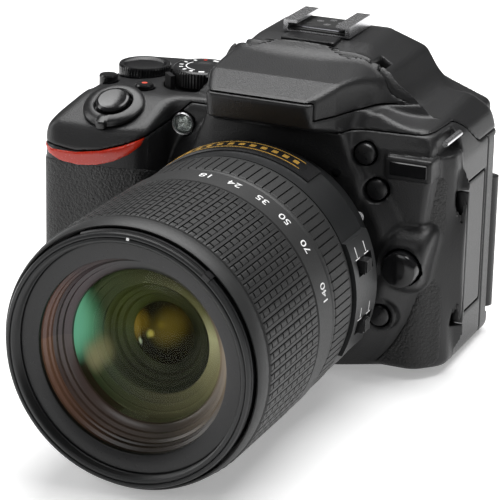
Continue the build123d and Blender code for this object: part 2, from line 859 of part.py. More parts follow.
slider_radius = bush_radius - slide_clearance
bore_radius = slider_radius - 1.4
with BuildPart() as front_barrel:
    add(turned(
        (bore_radius, 30),
        (slider_radius, 30),
        (slider_radius, 89),
        (rim_radius, 89),
        (rim_radius, lens_length),
        (filter_radius, lens_length),
        (filter_radius, lens_length - filter_depth),
        (name_ring_radius, lens_length - filter_depth - 0.6),
        (glass_radius, glass_rear + 5),
        (glass_radius, glass_rear),
        (cell_radius, glass_rear - 0.4),
        (inner_glass_radius, inner_glass_front - 1),
        (inner_glass_radius, inner_glass_rear),
        (inner_glass_radius + 1.6, inner_glass_rear),
        (inner_glass_radius + 1.6, inner_glass_front - 3),
        (cell_radius + 1, glass_rear - 3),
        (bore_radius, glass_rear - 3),
    ))
front_barrel.part.label = "front_barrel"

with BuildPart() as front_element:
    add(tube(glass_radius - 0.1, 0, glass_rear + 0.1, glass_front + 1))
    with Locations(lens_plane.offset(glass_front - dome_radius)):
        Sphere(dome_radius, mode=Mode.INTERSECT)
    add(tube(inner_glass_radius - 0.1, 0, inner_glass_rear + 0.2, inner_glass_front))
front_element.part.label = "front_element"

with BuildPart() as diaphragm_unit:
    add(tube(bore_radius - 0.4, 7.0, 44, 46.5))
    add(tube(bore_radius - 0.4, 22.0, 38, 44))
diaphragm_unit.part.label = "diaphragm_unit"

with BuildPart() as rear_elements:
    add(tube(21.9, 0.0, 34, 43.9))
rear_elements.part.label = "rear_elements"

with BuildPart() as focus_element:
    add(tube(bush_radius - 0.6, 14.0, 16, 22))
    add(tube(14.0, 0.0, 17, 21))
focus_element.part.label = "focus_element"

# ---------------------------------------------------------------- mirror
mirror_hinge_y = flange_y + 37.5
mirror_hinge_z = screen_z - 3.4
mirror_length = 31.0
mirror_thick = 1.4
mirror_plane = Plane(
    origin=(0, mirror_hinge_y, mirror_hinge_z),
    x_dir=(1, 0, 0),
    z_dir=(0, -1, 1),
)
sub_along = 14.0
sub_length = 12.0
sub_y = mirror_hinge_y - (sub_along - mirror_thick - 0.9) * cos(radians(45))
sub_z = mirror_hinge_z - (sub_along + mirror_thick + 0.9) * sin(radians(45))

with BuildPart(mirror_plane) as reflex_mirror:
    Box(27, mirror_length, mirror_thick, align=(Align.CENTER, Align.MAX, Align.MAX))
    Cylinder(1.0, 35, rotation=(0, 90, 0))
reflex_mirror.part.label = "reflex_mirror"

sub_plane = Plane(origin=(0, sub_y, sub_z), x_dir=(1, 0, 0), z_dir=(0, 1, 1))
with BuildPart(sub_plane) as sub_mirror:
    Box(13, sub_length, 0.8, align=(Align.CENTER, Align.MIN, Align.CENTER))
    Cylinder(0.5, 20, rotation=(0, 90, 0))
sub_mirror.part.label = "sub_mirror"

# ---------------------------------------------------------------- controls on the top
with BuildPart() as power_switch:
    with Locations(release_plane.offset(power_low)):
        Cylinder(power_radius, power_high - power_low, align=LOW)
        Cylinder(release_radius + gap, 10, align=LOW, mode=Mode.SUBTRACT)
power_switch.part.label = "power_switch"

with BuildPart() as shutter_button:
    with Locations(release_plane.offset(1.4)):
        Cylinder(release_radius, 2.6, align=LOW)
    with Locations(release_plane.offset(-5)):
        Cylinder(release_radius - 1, 7, align=LOW)
    fillet(shutter_button.edges().filter_by(GeomType.CIRCLE).group_by(Axis.Z)[-1], 0.6)
shutter_button.part.label = "shutter_button"


def on_deck(x, y, z):
    """Plane facing up."""
    return Plane(origin=(x, y, z))


with BuildPart(on_deck(mode_dial_x, mode_dial_y, mode_dial_low)) as mode_dial:
    Cylinder(mode_dial_radius, mode_dial_top - mode_dial_low, align=LOW)
    chamfer(mode_dial.edges().group_by(Axis.Z)[-1], 0.5)
mode_dial.part.label = "mode_dial"

lever_plane = on_deck(mode_dial_x, mode_dial_y, lever_low).rotated((0, 0, 45))
with BuildPart() as live_view_lever:
    with Locations(lever_plane):
        Cylinder(lever_radius, lever_high - lever_low, align=LOW)
    with Locations(lever_plane * Location((-10.7, 0, 0))):
        Box(1.5, 5.0, 5.4, align=LOW)
live_view_lever.part.label = "live_view_lever"

with BuildPart() as command_dial:
    with Locations(on_deck(command_dial_x, command_dial_y, command_dial_low)):
        Cylinder(command_dial_radius, command_dial_top - command_dial_low, align=LOW)
    with Locations(on_deck(command_dial_x, command_dial_y, command_dial_top)):
        Cylinder(command_dial_radius - 2, 0.8, align=HIGH, mode=Mode.SUBTRACT)
command_dial.part.label = "command_dial"


def push_button(plane, radius, length):
    """Button whose cap is at the plane and whose stem runs inward."""
    with BuildPart() as button:
        with Locations(plane):
            Cylinder(radius, length, align=HIGH)
        fillet(button.faces().sort_by_distance(plane.origin)[0].edges(), 0.35)
    return button.part


with BuildPart() as movie_button:
    add(push_button(on_deck(movie_x, movie_y, top_button_top), top_button_radius, button_length))
movie_button.part.label = "movie_button"

with BuildPart() as exposure_button:
    add(push_button(on_deck(exposure_x, exposure_y, top_button_top - 1), top_button_radius, button_length))
exposure_button.part.label = "exposure_button"

# ---------------------------------------------------------------- controls on the front
boss_face_y = front_y - 2.5
with BuildPart() as flash_button:
    add(push_button(
        facing_front(flash_button_x, boss_face_y - 1.2, flash_button_z),
        small_button_radius,
        button_length,
    ))
flash_button.part.label = "flash_button"

with BuildPart() as function_button:
    add(push_button(
        facing_front(function_button_x, boss_face_y - 1.2, function_button_z),
        small_button_radius,
        button_length,
    ))
function_button.part.label = "function_button"

with BuildPart() as drive_mode_button:
    add(push_button(
        facing_front(drive_x, front_y - 6.6, drive_z),
        small_button_radius,
        button_length + 2,
    ))
drive_mode_button.part.label = "drive_mode_button"

with BuildPart() as lens_release_button:
    add(push_button(
        facing_front(lens_release_x, front_y - 10.5, lens_release_z),
        lens_release_radius,
        6.5,
    ))
lens_release_button.part.label = "lens_release_button"

# ---------------------------------------------------------------- flash head
with BuildPart() as flash_head:
    add(hump_shape)
    add(flash_zone(0), mode=Mode.INTERSECT)
    for ear_x, inward in ((ear_left, ear_width), (ear_right, -3.0)):
        add(cross_pin(
            hinge_pin_radius,
            ear_x + inward - 0.5 * (inward > 0),
            ear_x + inward + 3.0 + 0.5 * (inward < 0),
            hinge_y,
            flash_hinge_z,
        ))
flash_head.part.label = "flash_head"

# ---------------------------------------------------------------- monitor
with BuildPart() as monitor_frame:
    add(block_between(
        (monitor_left, monitor_y - monitor_thick, monitor_low),
        (monitor_right, monitor_y, monitor_high),
    ))
    fillet(monitor_frame.edges().filter_by(Axis.Y), 2.5)
    add(block_between(
        (monitor_right - 1, monitor_axis_y - 1.4, knuckle_low),
        (monitor_axis_x, monitor_axis_y + 1.4, knuckle_high),
    ))
    with Locations(on_deck(monitor_axis_x, monitor_axis_y, knuckle_low)):
        Cylinder(knuckle_radius, knuckle_high - knuckle_low, align=LOW)
    add(block_between(
        (monitor_left + 4, monitor_y - 1.2, monitor_low + 4.5),
        (monitor_right - 4, monitor_y + 1, monitor_high - 4.5),
    ), mode=Mode.SUBTRACT)
monitor_frame.part.label = "monitor_frame"

with BuildPart() as monitor_screen:
    add(block_between(
        (monitor_left + 4, monitor_y - 1.2, monitor_low + 4.5),
        (monitor_right - 4, monitor_y - 0.2, monitor_high - 4.5),
    ))
monitor_screen.part.label = "monitor_screen"

# ---------------------------------------------------------------- doors
battery_pivot_x = battery_door_high[0] - door_thick / 2
with BuildPart() as battery_door:
    add(block_between(
        (battery_door_low[0], battery_door_low[1], 0),
        (battery_pivot_x, battery_door_high[1], door_thick),
    ))
    barrel_plane = Plane(
        origin=(battery_pivot_x, battery_door_low[1], door_thick / 2),
        x_dir=(1, 0, 0),
        z_dir=(0, 1, 0),
    )
    with Locations(barrel_plane):
        Cylinder(door_thick / 2, battery_door_high[1] - battery_door_low[1], align=LOW)
battery_door.part.label = "battery_door"


def side_door(x_low, y_low, y_high, z_low, z_high):
    """Side door with its hinge barrel along the front edge."""
    with BuildPart() as door:
        add(block_between((x_low, y_low + door_pivot, z_low), (x_low + side_door_thick, y_high, z_high)))
        with Locations(on_deck(x_low + door_pivot, y_low + door_pivot, z_low)):
            Cylinder(door_pivot, z_high - z_low, align=LOW)
    return door.part


with BuildPart() as card_door:
    add(side_door(grip_x, card_door_low[0], card_door_high[0], card_door_low[1], card_door_high[1]))
card_door.part.label = "card_door"

with BuildPart() as port_cover:
    add(side_door(
        port_x - side_door_thick,
        port_door_low[0],
        port_door_high[0],
        port_door_low[1],
        port_door_high[1],
    ))
port_cover.part.label = "port_cover"

# ---------------------------------------------------------------- controls on the rear
button_rise = 0.9
selector_rise = 1.6
ok_radius = 3.6
with BuildPart() as multi_selector:
    with Locations(facing_rear(selector_x, rear_y + selector_rise, selector_z)):
        Cylinder(selector_radius, 3.2, align=HIGH)
        Cylinder(ok_radius + gap, 10, mode=Mode.SUBTRACT)
multi_selector.part.label = "multi_selector"

with BuildPart() as ok_button:
    add(push_button(facing_rear(selector_x, rear_y + selector_rise + 0.4, selector_z), ok_radius, 5.0))
ok_button.part.label = "ok_button"


def rear_button(x, z):
    """Round button on the rear face."""
    return push_button(facing_rear(x, rear_y + button_rise, z), rear_button_radius, button_length)


with BuildPart() as menu_button:
    add(rear_button(menu_x, menu_z))
menu_button.part.label = "menu_button"

with BuildPart() as ae_lock_button:
    add(rear_button(lock_x, lock_z))
ae_lock_button.part.label = "ae_lock_button"

with BuildPart() as playback_button:
    add(rear_button(*rear_button_places["playback_button"]))
playback_button.part.label = "playback_button"

with BuildPart() as info_edit_button:
    add(rear_button(*rear_button_places["info_edit_button"]))
info_edit_button.part.label = "info_edit_button"

with BuildPart() as zoom_in_button:
    add(rear_button(*rear_button_places["zoom_in_button"]))
zoom_in_button.part.label = "zoom_in_button"

with BuildPart() as zoom_out_button:
    add(rear_button(*rear_button_places["zoom_out_button"]))
zoom_out_button.part.label = "zoom_out_button"

with BuildPart() as delete_button:
    add(rear_button(*rear_button_places["delete_button"]))
delete_button.part.label = "delete_button"

# ---------------------------------------------------------------- export
pieces = (
    leather_panels, grip_accent, front_cover, rear_cover, top_cover,
    body_mount, mirror_box, focusing_screen, pentamirror, eyepiece_lens, eyecup,
    shutter_frame, shutter_curtain, image_sensor, tripod_socket, battery, port_sockets,
    hot_shoe, strap_eyelets, af_assist_lamp, screws,
    lens_mount, lens_barrel, focus_switch, stabiliser_switch, focus_ring, zoom_ring,
    front_barrel, front_element, diaphragm_unit, rear_elements, focus_element,
    reflex_mirror, sub_mirror,
    power_switch, shutter_button, mode_dial, live_view_lever, command_dial,
    movie_button, exposure_button, flash_button, function_button, drive_mode_button,
    lens_release_button, flash_head, monitor_frame, monitor_screen,
    battery_door, card_door, port_cover, multi_selector, ok_button, menu_button,
    ae_lock_button, playback_button, info_edit_button, zoom_in_button, zoom_out_button,
    delete_button,
)
for piece in pieces:
    export_step(piece.part, f"parts/{piece.part.label}.step")
print(len(pieces), "pieces")
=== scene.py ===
# %% [markdown]
# A digital single-lens reflex camera with its zoom lens.
#
# The mechanical model gives every size, place and joint. This lesson dresses that frame:
# it keeps the mechanical pieces whose shape is already right and gives them finishes, and
# it makes new surfaces where the real object has soft moulded form, rubber pattern or glass.

# %% Load the frame
import math

import bmesh
import bpy
import numpy as np
from mathutils import Matrix, Vector


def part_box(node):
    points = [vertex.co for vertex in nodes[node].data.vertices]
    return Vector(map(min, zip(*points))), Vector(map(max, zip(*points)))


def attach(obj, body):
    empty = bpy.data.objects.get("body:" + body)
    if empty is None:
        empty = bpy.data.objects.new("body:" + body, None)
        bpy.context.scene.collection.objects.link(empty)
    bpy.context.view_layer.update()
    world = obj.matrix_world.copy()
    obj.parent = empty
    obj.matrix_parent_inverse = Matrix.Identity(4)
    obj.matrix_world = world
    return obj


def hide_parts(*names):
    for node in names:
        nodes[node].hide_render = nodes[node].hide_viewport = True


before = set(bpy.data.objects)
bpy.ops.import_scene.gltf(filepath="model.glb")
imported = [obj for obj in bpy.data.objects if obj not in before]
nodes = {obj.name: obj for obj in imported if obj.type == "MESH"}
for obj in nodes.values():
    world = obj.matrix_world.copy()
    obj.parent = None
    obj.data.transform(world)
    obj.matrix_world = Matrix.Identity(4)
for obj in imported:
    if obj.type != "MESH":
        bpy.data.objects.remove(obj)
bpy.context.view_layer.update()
MM = 0.001

# %% [markdown]
# The frame's own pieces say where everything is. The lens turns about one axis, so most
# lens pieces are described by a radius and a distance forward of the mounting flange.
# The axis and the flange are read from the metal mount ring.

# %% Lens axis and flange
mount_low, mount_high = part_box("body_mount")
LENS_Z = (mount_low.z + mount_high.z) / 2 / MM
FLANGE_Y = mount_low.y / MM
PORT_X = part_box("port_cover")[1].x / MM
GRIP_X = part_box("card_door")[0].x / MM
REAR_Y = 27.0
FRONT_Y = -22.0
GRIP_Y = -39.3
print("lens axis height", round(LENS_Z, 2), "flange at y", round(FLANGE_Y, 2))

# %% [markdown]
# A piece like this is best shown from a little above and to one side, through a long lens
# so that the shape is not stretched. The camera object here stands at a real distance
# and carries a long focal length. Its direction comes from an azimuth, an elevation and a
# small roll.

# %% Viewing camera
VIEW_AZIMUTH = math.radians(23.1251)
VIEW_ELEVATION = math.radians(19.5934)
VIEW_ROLL = math.radians(1.3063)
VIEW_PLACE = Vector((0.28820, -0.71865, 0.30071))
view_data = bpy.data.cameras.new("view")
view_data.sensor_width = 36.0
view_data.lens = 191.03
view_data.clip_start = 0.05
view_data.clip_end = 20.0
view_camera = bpy.data.objects.new("view", view_data)
bpy.context.scene.collection.objects.link(view_camera)
back = Vector((
    math.sin(VIEW_AZIMUTH) * math.cos(VIEW_ELEVATION),
    -math.cos(VIEW_AZIMUTH) * math.cos(VIEW_ELEVATION),
    math.sin(VIEW_ELEVATION),
))
level = Vector((math.cos(VIEW_AZIMUTH), math.sin(VIEW_AZIMUTH), 0.0))
upright = back.cross(level)
right = level * math.cos(VIEW_ROLL) + upright * math.sin(VIEW_ROLL)
up = -level * math.sin(VIEW_ROLL) + upright * math.cos(VIEW_ROLL)
turn = Matrix((right, up, back)).transposed()
view_camera.matrix_world = Matrix.Translation(VIEW_PLACE) @ turn.to_4x4()
bpy.context.scene.camera = view_camera
print("camera distance in m:", round(VIEW_PLACE.length, 3))

# %% [markdown]
# Black plastic only shows its form through reflections. A studio puts large soft panels
# above and beside the object and keeps the surroundings white. Area lights do the same
# here: a wide one above, a tall one on each side and a weak one in front for the lens.
# The background gives an even white fill.

# %% Studio light and floor
def panel_light(name, place, target, width, height, power):
    """Rectangular soft light aimed at a point."""
    data = bpy.data.lights.new(name, "AREA")
    data.shape = "RECTANGLE"
    data.size = width
    data.size_y = height
    data.energy = power
    lamp = bpy.data.objects.new(name, data)
    lamp.location = place
    lamp.rotation_mode = "QUATERNION"
    aim = Vector(target) - Vector(place)
    lamp.rotation_quaternion = aim.to_track_quat("-Z", "Y")
    bpy.context.scene.collection.objects.link(lamp)
    return lamp


AIM = (0.0, -0.03, 0.04)
WHITE_FILL = 0.14
panel_light("overhead_light", (0.0, 0.15, 0.75), AIM, 0.9, 0.6, 11.0)
panel_light("left_light", (-0.75, -0.25, 0.35), AIM, 0.35, 0.8, 3.2)
panel_light("right_light", (0.7, -0.05, 0.30), AIM, 0.25, 0.8, 0.7)
panel_light("front_light", (-0.15, -0.9, 0.55), AIM, 0.5, 0.3, 1.2)
world = bpy.data.worlds.new("studio")
world.use_nodes = True
world.node_tree.nodes["Background"].inputs["Color"].default_value = (1, 1, 1, 1)
world.node_tree.nodes["Background"].inputs["Strength"].default_value = WHITE_FILL
bpy.context.scene.world = world
bpy.context.scene.view_settings.view_transform = "Standard"
bpy.context.scene.view_settings.look = "None"

# %% [markdown]
# The lens is wider than the body is low, so a camera put down on a table leans on its lens
# and on the rear edge of its base. The floor is a large plane through both contacts.

# %% Floor through the two contacts
LENS_MAX_RADIUS = 39.3
LENS_TOUCH_FORWARD = 92
BASE_TOUCH_INSET = 4
FLOOR_HALF = 4
FLOOR_GLOW = 0.30
lens_touch = Vector((0, (FLANGE_Y - LENS_TOUCH_FORWARD) * MM,
                     (LENS_Z - LENS_MAX_RADIUS) * MM))
base_touch = Vector((0, (REAR_Y - BASE_TOUCH_INSET) * MM, 0))
slope = math.atan2(base_touch.z - lens_touch.z, base_touch.y - lens_touch.y)
floor_mesh = bpy.data.meshes.new("floor")
floor_mesh.from_pydata(
    [(-FLOOR_HALF, -FLOOR_HALF, 0), (FLOOR_HALF, -FLOOR_HALF, 0),
     (FLOOR_HALF, FLOOR_HALF, 0), (-FLOOR_HALF, FLOOR_HALF, 0)], [], [(0, 1, 2, 3)]
)
floor = bpy.data.objects.new("floor", floor_mesh)
floor.location = lens_touch - Vector((0, 0, 0.0003))
floor.rotation_euler = (slope, 0, 0)
bpy.context.scene.collection.objects.link(floor)
print("floor tilt in degrees:", round(math.degrees(slope), 2))

# %% [markdown]
# Finishes. Each one is a Principled shader whose colour, roughness and bump come from
# procedural noise in object space, at the scale of the real finish: a fine grain on the
# moulded shell, a coarse pebble on the leatherette, brushed streaks on metal.

# %% Material helpers
def new_material(name):
    """Empty material with a Principled shader."""
    material = bpy.data.materials.new(name)
    material.use_nodes = True
    tree = material.node_tree
    shader = tree.nodes["Principled BSDF"]
    return material, tree, shader


def noise(tree, scale, detail=3.0, stretch=(1, 1, 1), kind="ShaderNodeTexNoise"):
    """Noise in object space. Scale is in features per metre."""
    place = tree.nodes.new("ShaderNodeTexCoord")
    mapping = tree.nodes.new("ShaderNodeMapping")
    mapping.inputs["Scale"].default_value = stretch
    texture = tree.nodes.new(kind)
    texture.inputs["Scale"].default_value = scale
    if "Detail" in texture.inputs:
        texture.inputs["Detail"].default_value = detail
    tree.links.new(place.outputs["Object"], mapping.inputs["Vector"])
    tree.links.new(mapping.outputs["Vector"], texture.inputs["Vector"])
    return texture.outputs[0]


def ramp(tree, value, stops):
    """Colour ramp through (position, colour) stops."""
    node = tree.nodes.new("ShaderNodeValToRGB")
    elements = node.color_ramp.elements
    while len(elements) < len(stops):
        elements.new(0.5)
    for element, (position, colour) in zip(elements, stops):
        element.position = position
        element.color = (*colour, 1.0)
    tree.links.new(value, node.inputs["Fac"])
    return node.outputs["Color"]


def grained(name, dark, light, rough, grain, depth, coarse=60.0, metal=0.0, coat=0.0,
            stretch=(1, 1, 1), kind="ShaderNodeTexNoise", spread=0.06, specular=0.4):
    """Surface with a slow colour drift and a fine bump."""
    material, tree, shader = new_material(name)
    drift = noise(tree, coarse, 4.0)
    colour = ramp(tree, drift, [(0.3, dark), (0.7, light)])
    tree.links.new(colour, shader.inputs["Base Color"])
    level_low = (rough - spread,) * 3
    level_high = (rough + spread,) * 3
    fine = noise(tree, grain, 2.0, stretch, kind)
    roughness = ramp(tree, fine, [(0.25, level_low), (0.75, level_high)])
    tree.links.new(roughness, shader.inputs["Roughness"])
    bump = tree.nodes.new("ShaderNodeBump")
    bump.inputs["Strength"].default_value = 1.0
    bump.inputs["Distance"].default_value = depth * MM
    tree.links.new(fine, bump.inputs["Height"])
    tree.links.new(bump.outputs["Normal"], shader.inputs["Normal"])
    shader.inputs["Metallic"].default_value = metal
    shader.inputs["Specular IOR Level"].default_value = specular
    shader.inputs["Coat Weight"].default_value = coat
    return material


print("helpers ready: new_material, noise, ramp, grained")

# %% [markdown]
# The body is made of a few black plastics that differ in gloss and grain, so each has its
# own finish. Metals, paints and the red strip are made by the same helper with other
# colours. The floor is pale paper, with a little glow so that it stays near white.

# %% Finishes of this camera
shell_plastic = grained("shell_plastic", (0.005, 0.005, 0.0055), (0.008, 0.008, 0.0085),
                        0.40, 2300, 0.09)
satin_plastic = grained("satin_plastic", (0.005, 0.005, 0.0055), (0.008, 0.008, 0.0085),
                        0.32, 1800, 0.012)
gloss_plastic = grained("gloss_plastic", (0.004, 0.004, 0.0045), (0.006, 0.006, 0.0065),
                        0.18, 900, 0.004)
inner_black = grained("inner_black", (0.004, 0.004, 0.004), (0.007, 0.007, 0.007),
                      0.55, 1500, 0.010)
ring_rubber = grained("ring_rubber", (0.012, 0.0125, 0.0125), (0.018, 0.018, 0.018),
                      0.50, 2200, 0.030)
barrel_plastic = grained("barrel_plastic", (0.009, 0.0095, 0.010), (0.013, 0.0135, 0.014),
                         0.36, 2400, 0.022)
bright_metal = grained("bright_metal", (0.55, 0.55, 0.56), (0.72, 0.72, 0.73),
                       0.26, 900, 0.006, metal=1.0, stretch=(1, 12, 12))
dark_metal = grained("dark_metal", (0.05, 0.05, 0.055), (0.08, 0.08, 0.085),
                     0.35, 1200, 0.006, metal=1.0)
accent_red = grained("accent_red", (0.38, 0.014, 0.003), (0.48, 0.022, 0.004),
                     0.24, 1500, 0.004, coat=0.4)
paint_white = grained("paint_white", (0.70, 0.70, 0.70), (0.82, 0.82, 0.82),
                      0.5, 1500, 0.004)
paint_gold = grained("paint_gold", (0.55, 0.30, 0.05), (0.75, 0.46, 0.10),
                     0.35, 1500, 0.004, metal=0.6)
record_red = grained("record_red", (0.45, 0.05, 0.03), (0.55, 0.08, 0.05),
                     0.35, 1200, 0.004)
mirror_silver = grained("mirror_silver", (0.80, 0.80, 0.82), (0.86, 0.86, 0.88),
                        0.06, 400, 0.001, metal=1.0, spread=0.02)
sensor_green = grained("sensor_green", (0.03, 0.10, 0.09), (0.05, 0.14, 0.16),
                       0.12, 700, 0.002, coat=0.5, spread=0.03)
battery_grey = grained("battery_grey", (0.05, 0.05, 0.055), (0.08, 0.08, 0.085),
                       0.5, 1500, 0.02)
screen_glass = grained("screen_glass", (0.004, 0.004, 0.005), (0.007, 0.007, 0.009),
                       0.06, 200, 0.0005, coat=0.6, spread=0.02)
floor_paper = grained("floor_paper", (0.86, 0.86, 0.86), (0.88, 0.88, 0.88),
                      0.75, 300, 0.01, coarse=3.0)
floor_shader = floor_paper.node_tree.nodes["Principled BSDF"]
floor_shader.inputs["Emission Color"].default_value = (1, 1, 1, 1)
floor_shader.inputs["Emission Strength"].default_value = FLOOR_GLOW
floor.data.materials.append(floor_paper)
print("finishes so far:", len(bpy.data.materials))

# %% [markdown]
# Leatherette is a soft skin pressed with an irregular pebble. Cells from a Voronoi texture
# give the pebble, and a little noise breaks it up. The colour is a touch lighter on the raised
# middle of each pebble and darker in the hollows between pebbles.

# %% Leatherette
PEBBLES_PER_METRE = 1150
PEBBLE_DEPTH = 0.28
BREAK_UP = 0.5


def leatherette_finish():
    """Dark pebbled skin."""
    material, tree, shader = new_material("leatherette_finish")
    cells = noise(tree, PEBBLES_PER_METRE, kind="ShaderNodeTexVoronoi")
    broken = noise(tree, 2600, 3.0)
    mix = tree.nodes.new("ShaderNodeMath")
    mix.operation = "MULTIPLY_ADD"
    tree.links.new(broken, mix.inputs[0])
    mix.inputs[1].default_value = BREAK_UP
    tree.links.new(cells, mix.inputs[2])
    colour = ramp(tree, mix.outputs[0], [
        (0.30, (0.016, 0.016, 0.016)),
        (0.95, (0.003, 0.003, 0.003)),
    ])
    tree.links.new(colour, shader.inputs["Base Color"])
    shader.inputs["Roughness"].default_value = 0.48
    bump = tree.nodes.new("ShaderNodeBump")
    bump.invert = True
    bump.inputs["Distance"].default_value = PEBBLE_DEPTH * MM
    tree.links.new(mix.outputs[0], bump.inputs["Height"])
    tree.links.new(bump.outputs["Normal"], shader.inputs["Normal"])
    return material


leatherette = leatherette_finish()
print("pebble size in mm:", round(1 / PEBBLES_PER_METRE / MM, 2))

# %% [markdown]
# Lens glass has thin coatings that tint what it reflects. Seen through the front, most of
# the surface is clear and only grazing light shows. A transparent shader is mixed with a
# tinted glossy one by the Fresnel factor.

# %% Coated glass
CLEAR = (0.93, 0.95, 0.93)


def coated_glass(name, tint, strength=1.0):
    """Clear glass whose reflections are tinted."""
    material = bpy.data.materials.new(name)
    material.use_nodes = True
    tree = material.node_tree
    output = tree.nodes["Material Output"]
    tree.nodes.remove(tree.nodes["Principled BSDF"])
    see_through = tree.nodes.new("ShaderNodeBsdfTransparent")
    see_through.inputs["Color"].default_value = (*CLEAR, 1)
    shine = tree.nodes.new("ShaderNodeBsdfGlossy")
    shine.inputs["Roughness"].default_value = 0.03
    drift = noise(tree, 40.0, 2.0)
    tinted = ramp(tree, drift, [(0.3, tint), (0.7, tuple(min(1, c * 1.25) for c in tint))])
    tree.links.new(tinted, shine.inputs["Color"])
    fresnel = tree.nodes.new("ShaderNodeFresnel")
    fresnel.inputs["IOR"].default_value = 1.0 + 0.5 * strength
    mix = tree.nodes.new("ShaderNodeMixShader")
    tree.links.new(fresnel.outputs[0], mix.inputs[0])
    tree.links.new(see_through.outputs[0], mix.inputs[1])
    tree.links.new(shine.outputs[0], mix.inputs[2])
    tree.links.new(mix.outputs[0], output.inputs["Surface"])
    return material


clear_coating = coated_glass("clear_coating", (0.75, 0.85, 0.80), strength=0.8)
finder_glass = coated_glass("finder_glass", (0.7, 0.6, 0.9))
print("glass finishes:", clear_coating.name, finder_glass.name)

# %% [markdown]
# Every piece that the frame already holds in its right shape gets its finish here. Small
# moulded pieces also get a narrow bevel, because a real edge always catches a line of light.

# %% Finishes for the frame's own pieces
FINISH_OF = {
    shell_plastic: ["front_cover", "rear_cover", "top_cover", "flash_head", "battery_door",
                    "card_door", "monitor_frame", "mode_dial", "port_cover"],
    satin_plastic: ["power_switch", "live_view_lever", "focus_switch", "stabiliser_switch",
                    "multi_selector"],
    gloss_plastic: ["shutter_button", "movie_button", "exposure_button", "flash_button",
                    "function_button", "drive_mode_button", "lens_release_button",
                    "ok_button", "menu_button", "ae_lock_button", "playback_button",
                    "info_edit_button", "zoom_in_button", "zoom_out_button",
                    "delete_button", "af_assist_lamp"],
    inner_black: ["mirror_box", "shutter_frame", "shutter_curtain", "diaphragm_unit",
                  "focus_element"],
    ring_rubber: ["eyecup", "command_dial", "focus_ring", "zoom_ring"],
    barrel_plastic: ["lens_barrel", "front_barrel"],
    bright_metal: ["hot_shoe", "lens_mount", "body_mount", "strap_eyelets", "port_sockets",
                   "tripod_socket"],
    dark_metal: ["screws"],
    accent_red: ["grip_accent"],
    leatherette: ["leather_panels"],
    mirror_silver: ["reflex_mirror", "sub_mirror", "pentamirror"],
    sensor_green: ["image_sensor"],
    battery_grey: ["battery"],
    screen_glass: ["monitor_screen"],
    finder_glass: ["eyepiece_lens", "focusing_screen", "rear_elements", "front_element"],
}


def paint(piece, material):
    """One material on every slot of a piece."""
    piece.data.materials.clear()
    piece.data.materials.append(material)


EDGE_LINE = 0.25
BEVELLED = ["battery_door", "monitor_frame", "live_view_lever", "hot_shoe", "eyecup",
            "multi_selector", "focus_switch", "stabiliser_switch"]
for material, names in FINISH_OF.items():
    for name in names:
        paint(nodes[name], material)
for name in BEVELLED:
    bevel = nodes[name].modifiers.new("edge_line", "BEVEL")
    bevel.width = EDGE_LINE * MM
    bevel.segments = 2
    bevel.limit_method = "ANGLE"
    bevel.angle_limit = math.radians(40)
unpainted = set(nodes) - {name for names in FINISH_OF.values() for name in names}
print("frame pieces without a finish:", sorted(unpainted))

# %% [markdown]
# New surfaces are built from rows of points. `add_piece` turns vertices and faces into an
# object, marks the sharp edges, gives it a finish, and tells the frame which body carries it.
# Most pieces are round, so `turned` spreads a profile of (radius, distance) points over a set
# of angles.

# %% Mesh helpers
TAU = 2 * math.pi


def add_piece(name, vertices, faces, material, body, sharp=35, replaces=()):
    """Object from points in millimetres."""
    mesh = bpy.data.meshes.new(name)
    mesh.from_pydata((np.asarray(vertices) * MM).tolist(), [], faces)
    work = bmesh.new()
    work.from_mesh(mesh)
    bmesh.ops.recalc_face_normals(work, faces=work.faces)
    work.to_mesh(mesh)
    work.free()
    mesh.shade_smooth()
    mesh.set_sharp_from_angle(angle=math.radians(sharp))
    mesh.materials.append(material)
    piece = bpy.data.objects.new(name, mesh)
    bpy.context.scene.collection.objects.link(piece)
    if replaces:
        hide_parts(*replaces)
    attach(piece, body)
    return piece


def lens_points(radius, forward, angle):
    """Row-frame points from a radius, a distance forward of the flange and an angle."""
    return np.stack((
        radius * np.cos(angle),
        FLANGE_Y - forward,
        LENS_Z + radius * np.sin(angle),
    ), axis=-1)


def even_angles(count):
    """Angles all the way round, evenly spaced."""
    return np.linspace(0, TAU, count, endpoint=False)


def turned(profile, angle):
    """Radius, distance along the axis and angle of every point of a turned profile."""
    profile = np.array(profile, dtype=float)
    radius = np.repeat(profile[:, :1], len(angle), axis=1)
    along = np.repeat(profile[:, 1:], len(angle), axis=1)
    angles = np.repeat(angle[None, :], len(profile), axis=0)
    return radius, along, angles


def grid_faces(rows, columns, close_rows, close_columns, start=0):
    """Quads of a grid, with either direction wrapped round if asked."""
    faces = []
    for row in range(rows if close_rows else rows - 1):
        upper = (row + 1) % rows
        for column in range(columns if close_columns else columns - 1):
            side = (column + 1) % columns
            faces.append((
                start + row * columns + column,
                start + row * columns + side,
                start + upper * columns + side,
                start + upper * columns + column,
            ))
    return faces


def lathe(name, profile, material, body, segments=180, sharp=35, replaces=()):
    """Piece turned about the lens axis from (radius, forward) points."""
    radius, forward, angles = turned(profile, even_angles(segments))
    points = lens_points(radius, forward, angles).reshape(-1, 3)
    faces = grid_faces(len(profile), segments, True, True)
    return add_piece(name, points, faces, material, body, sharp, replaces)


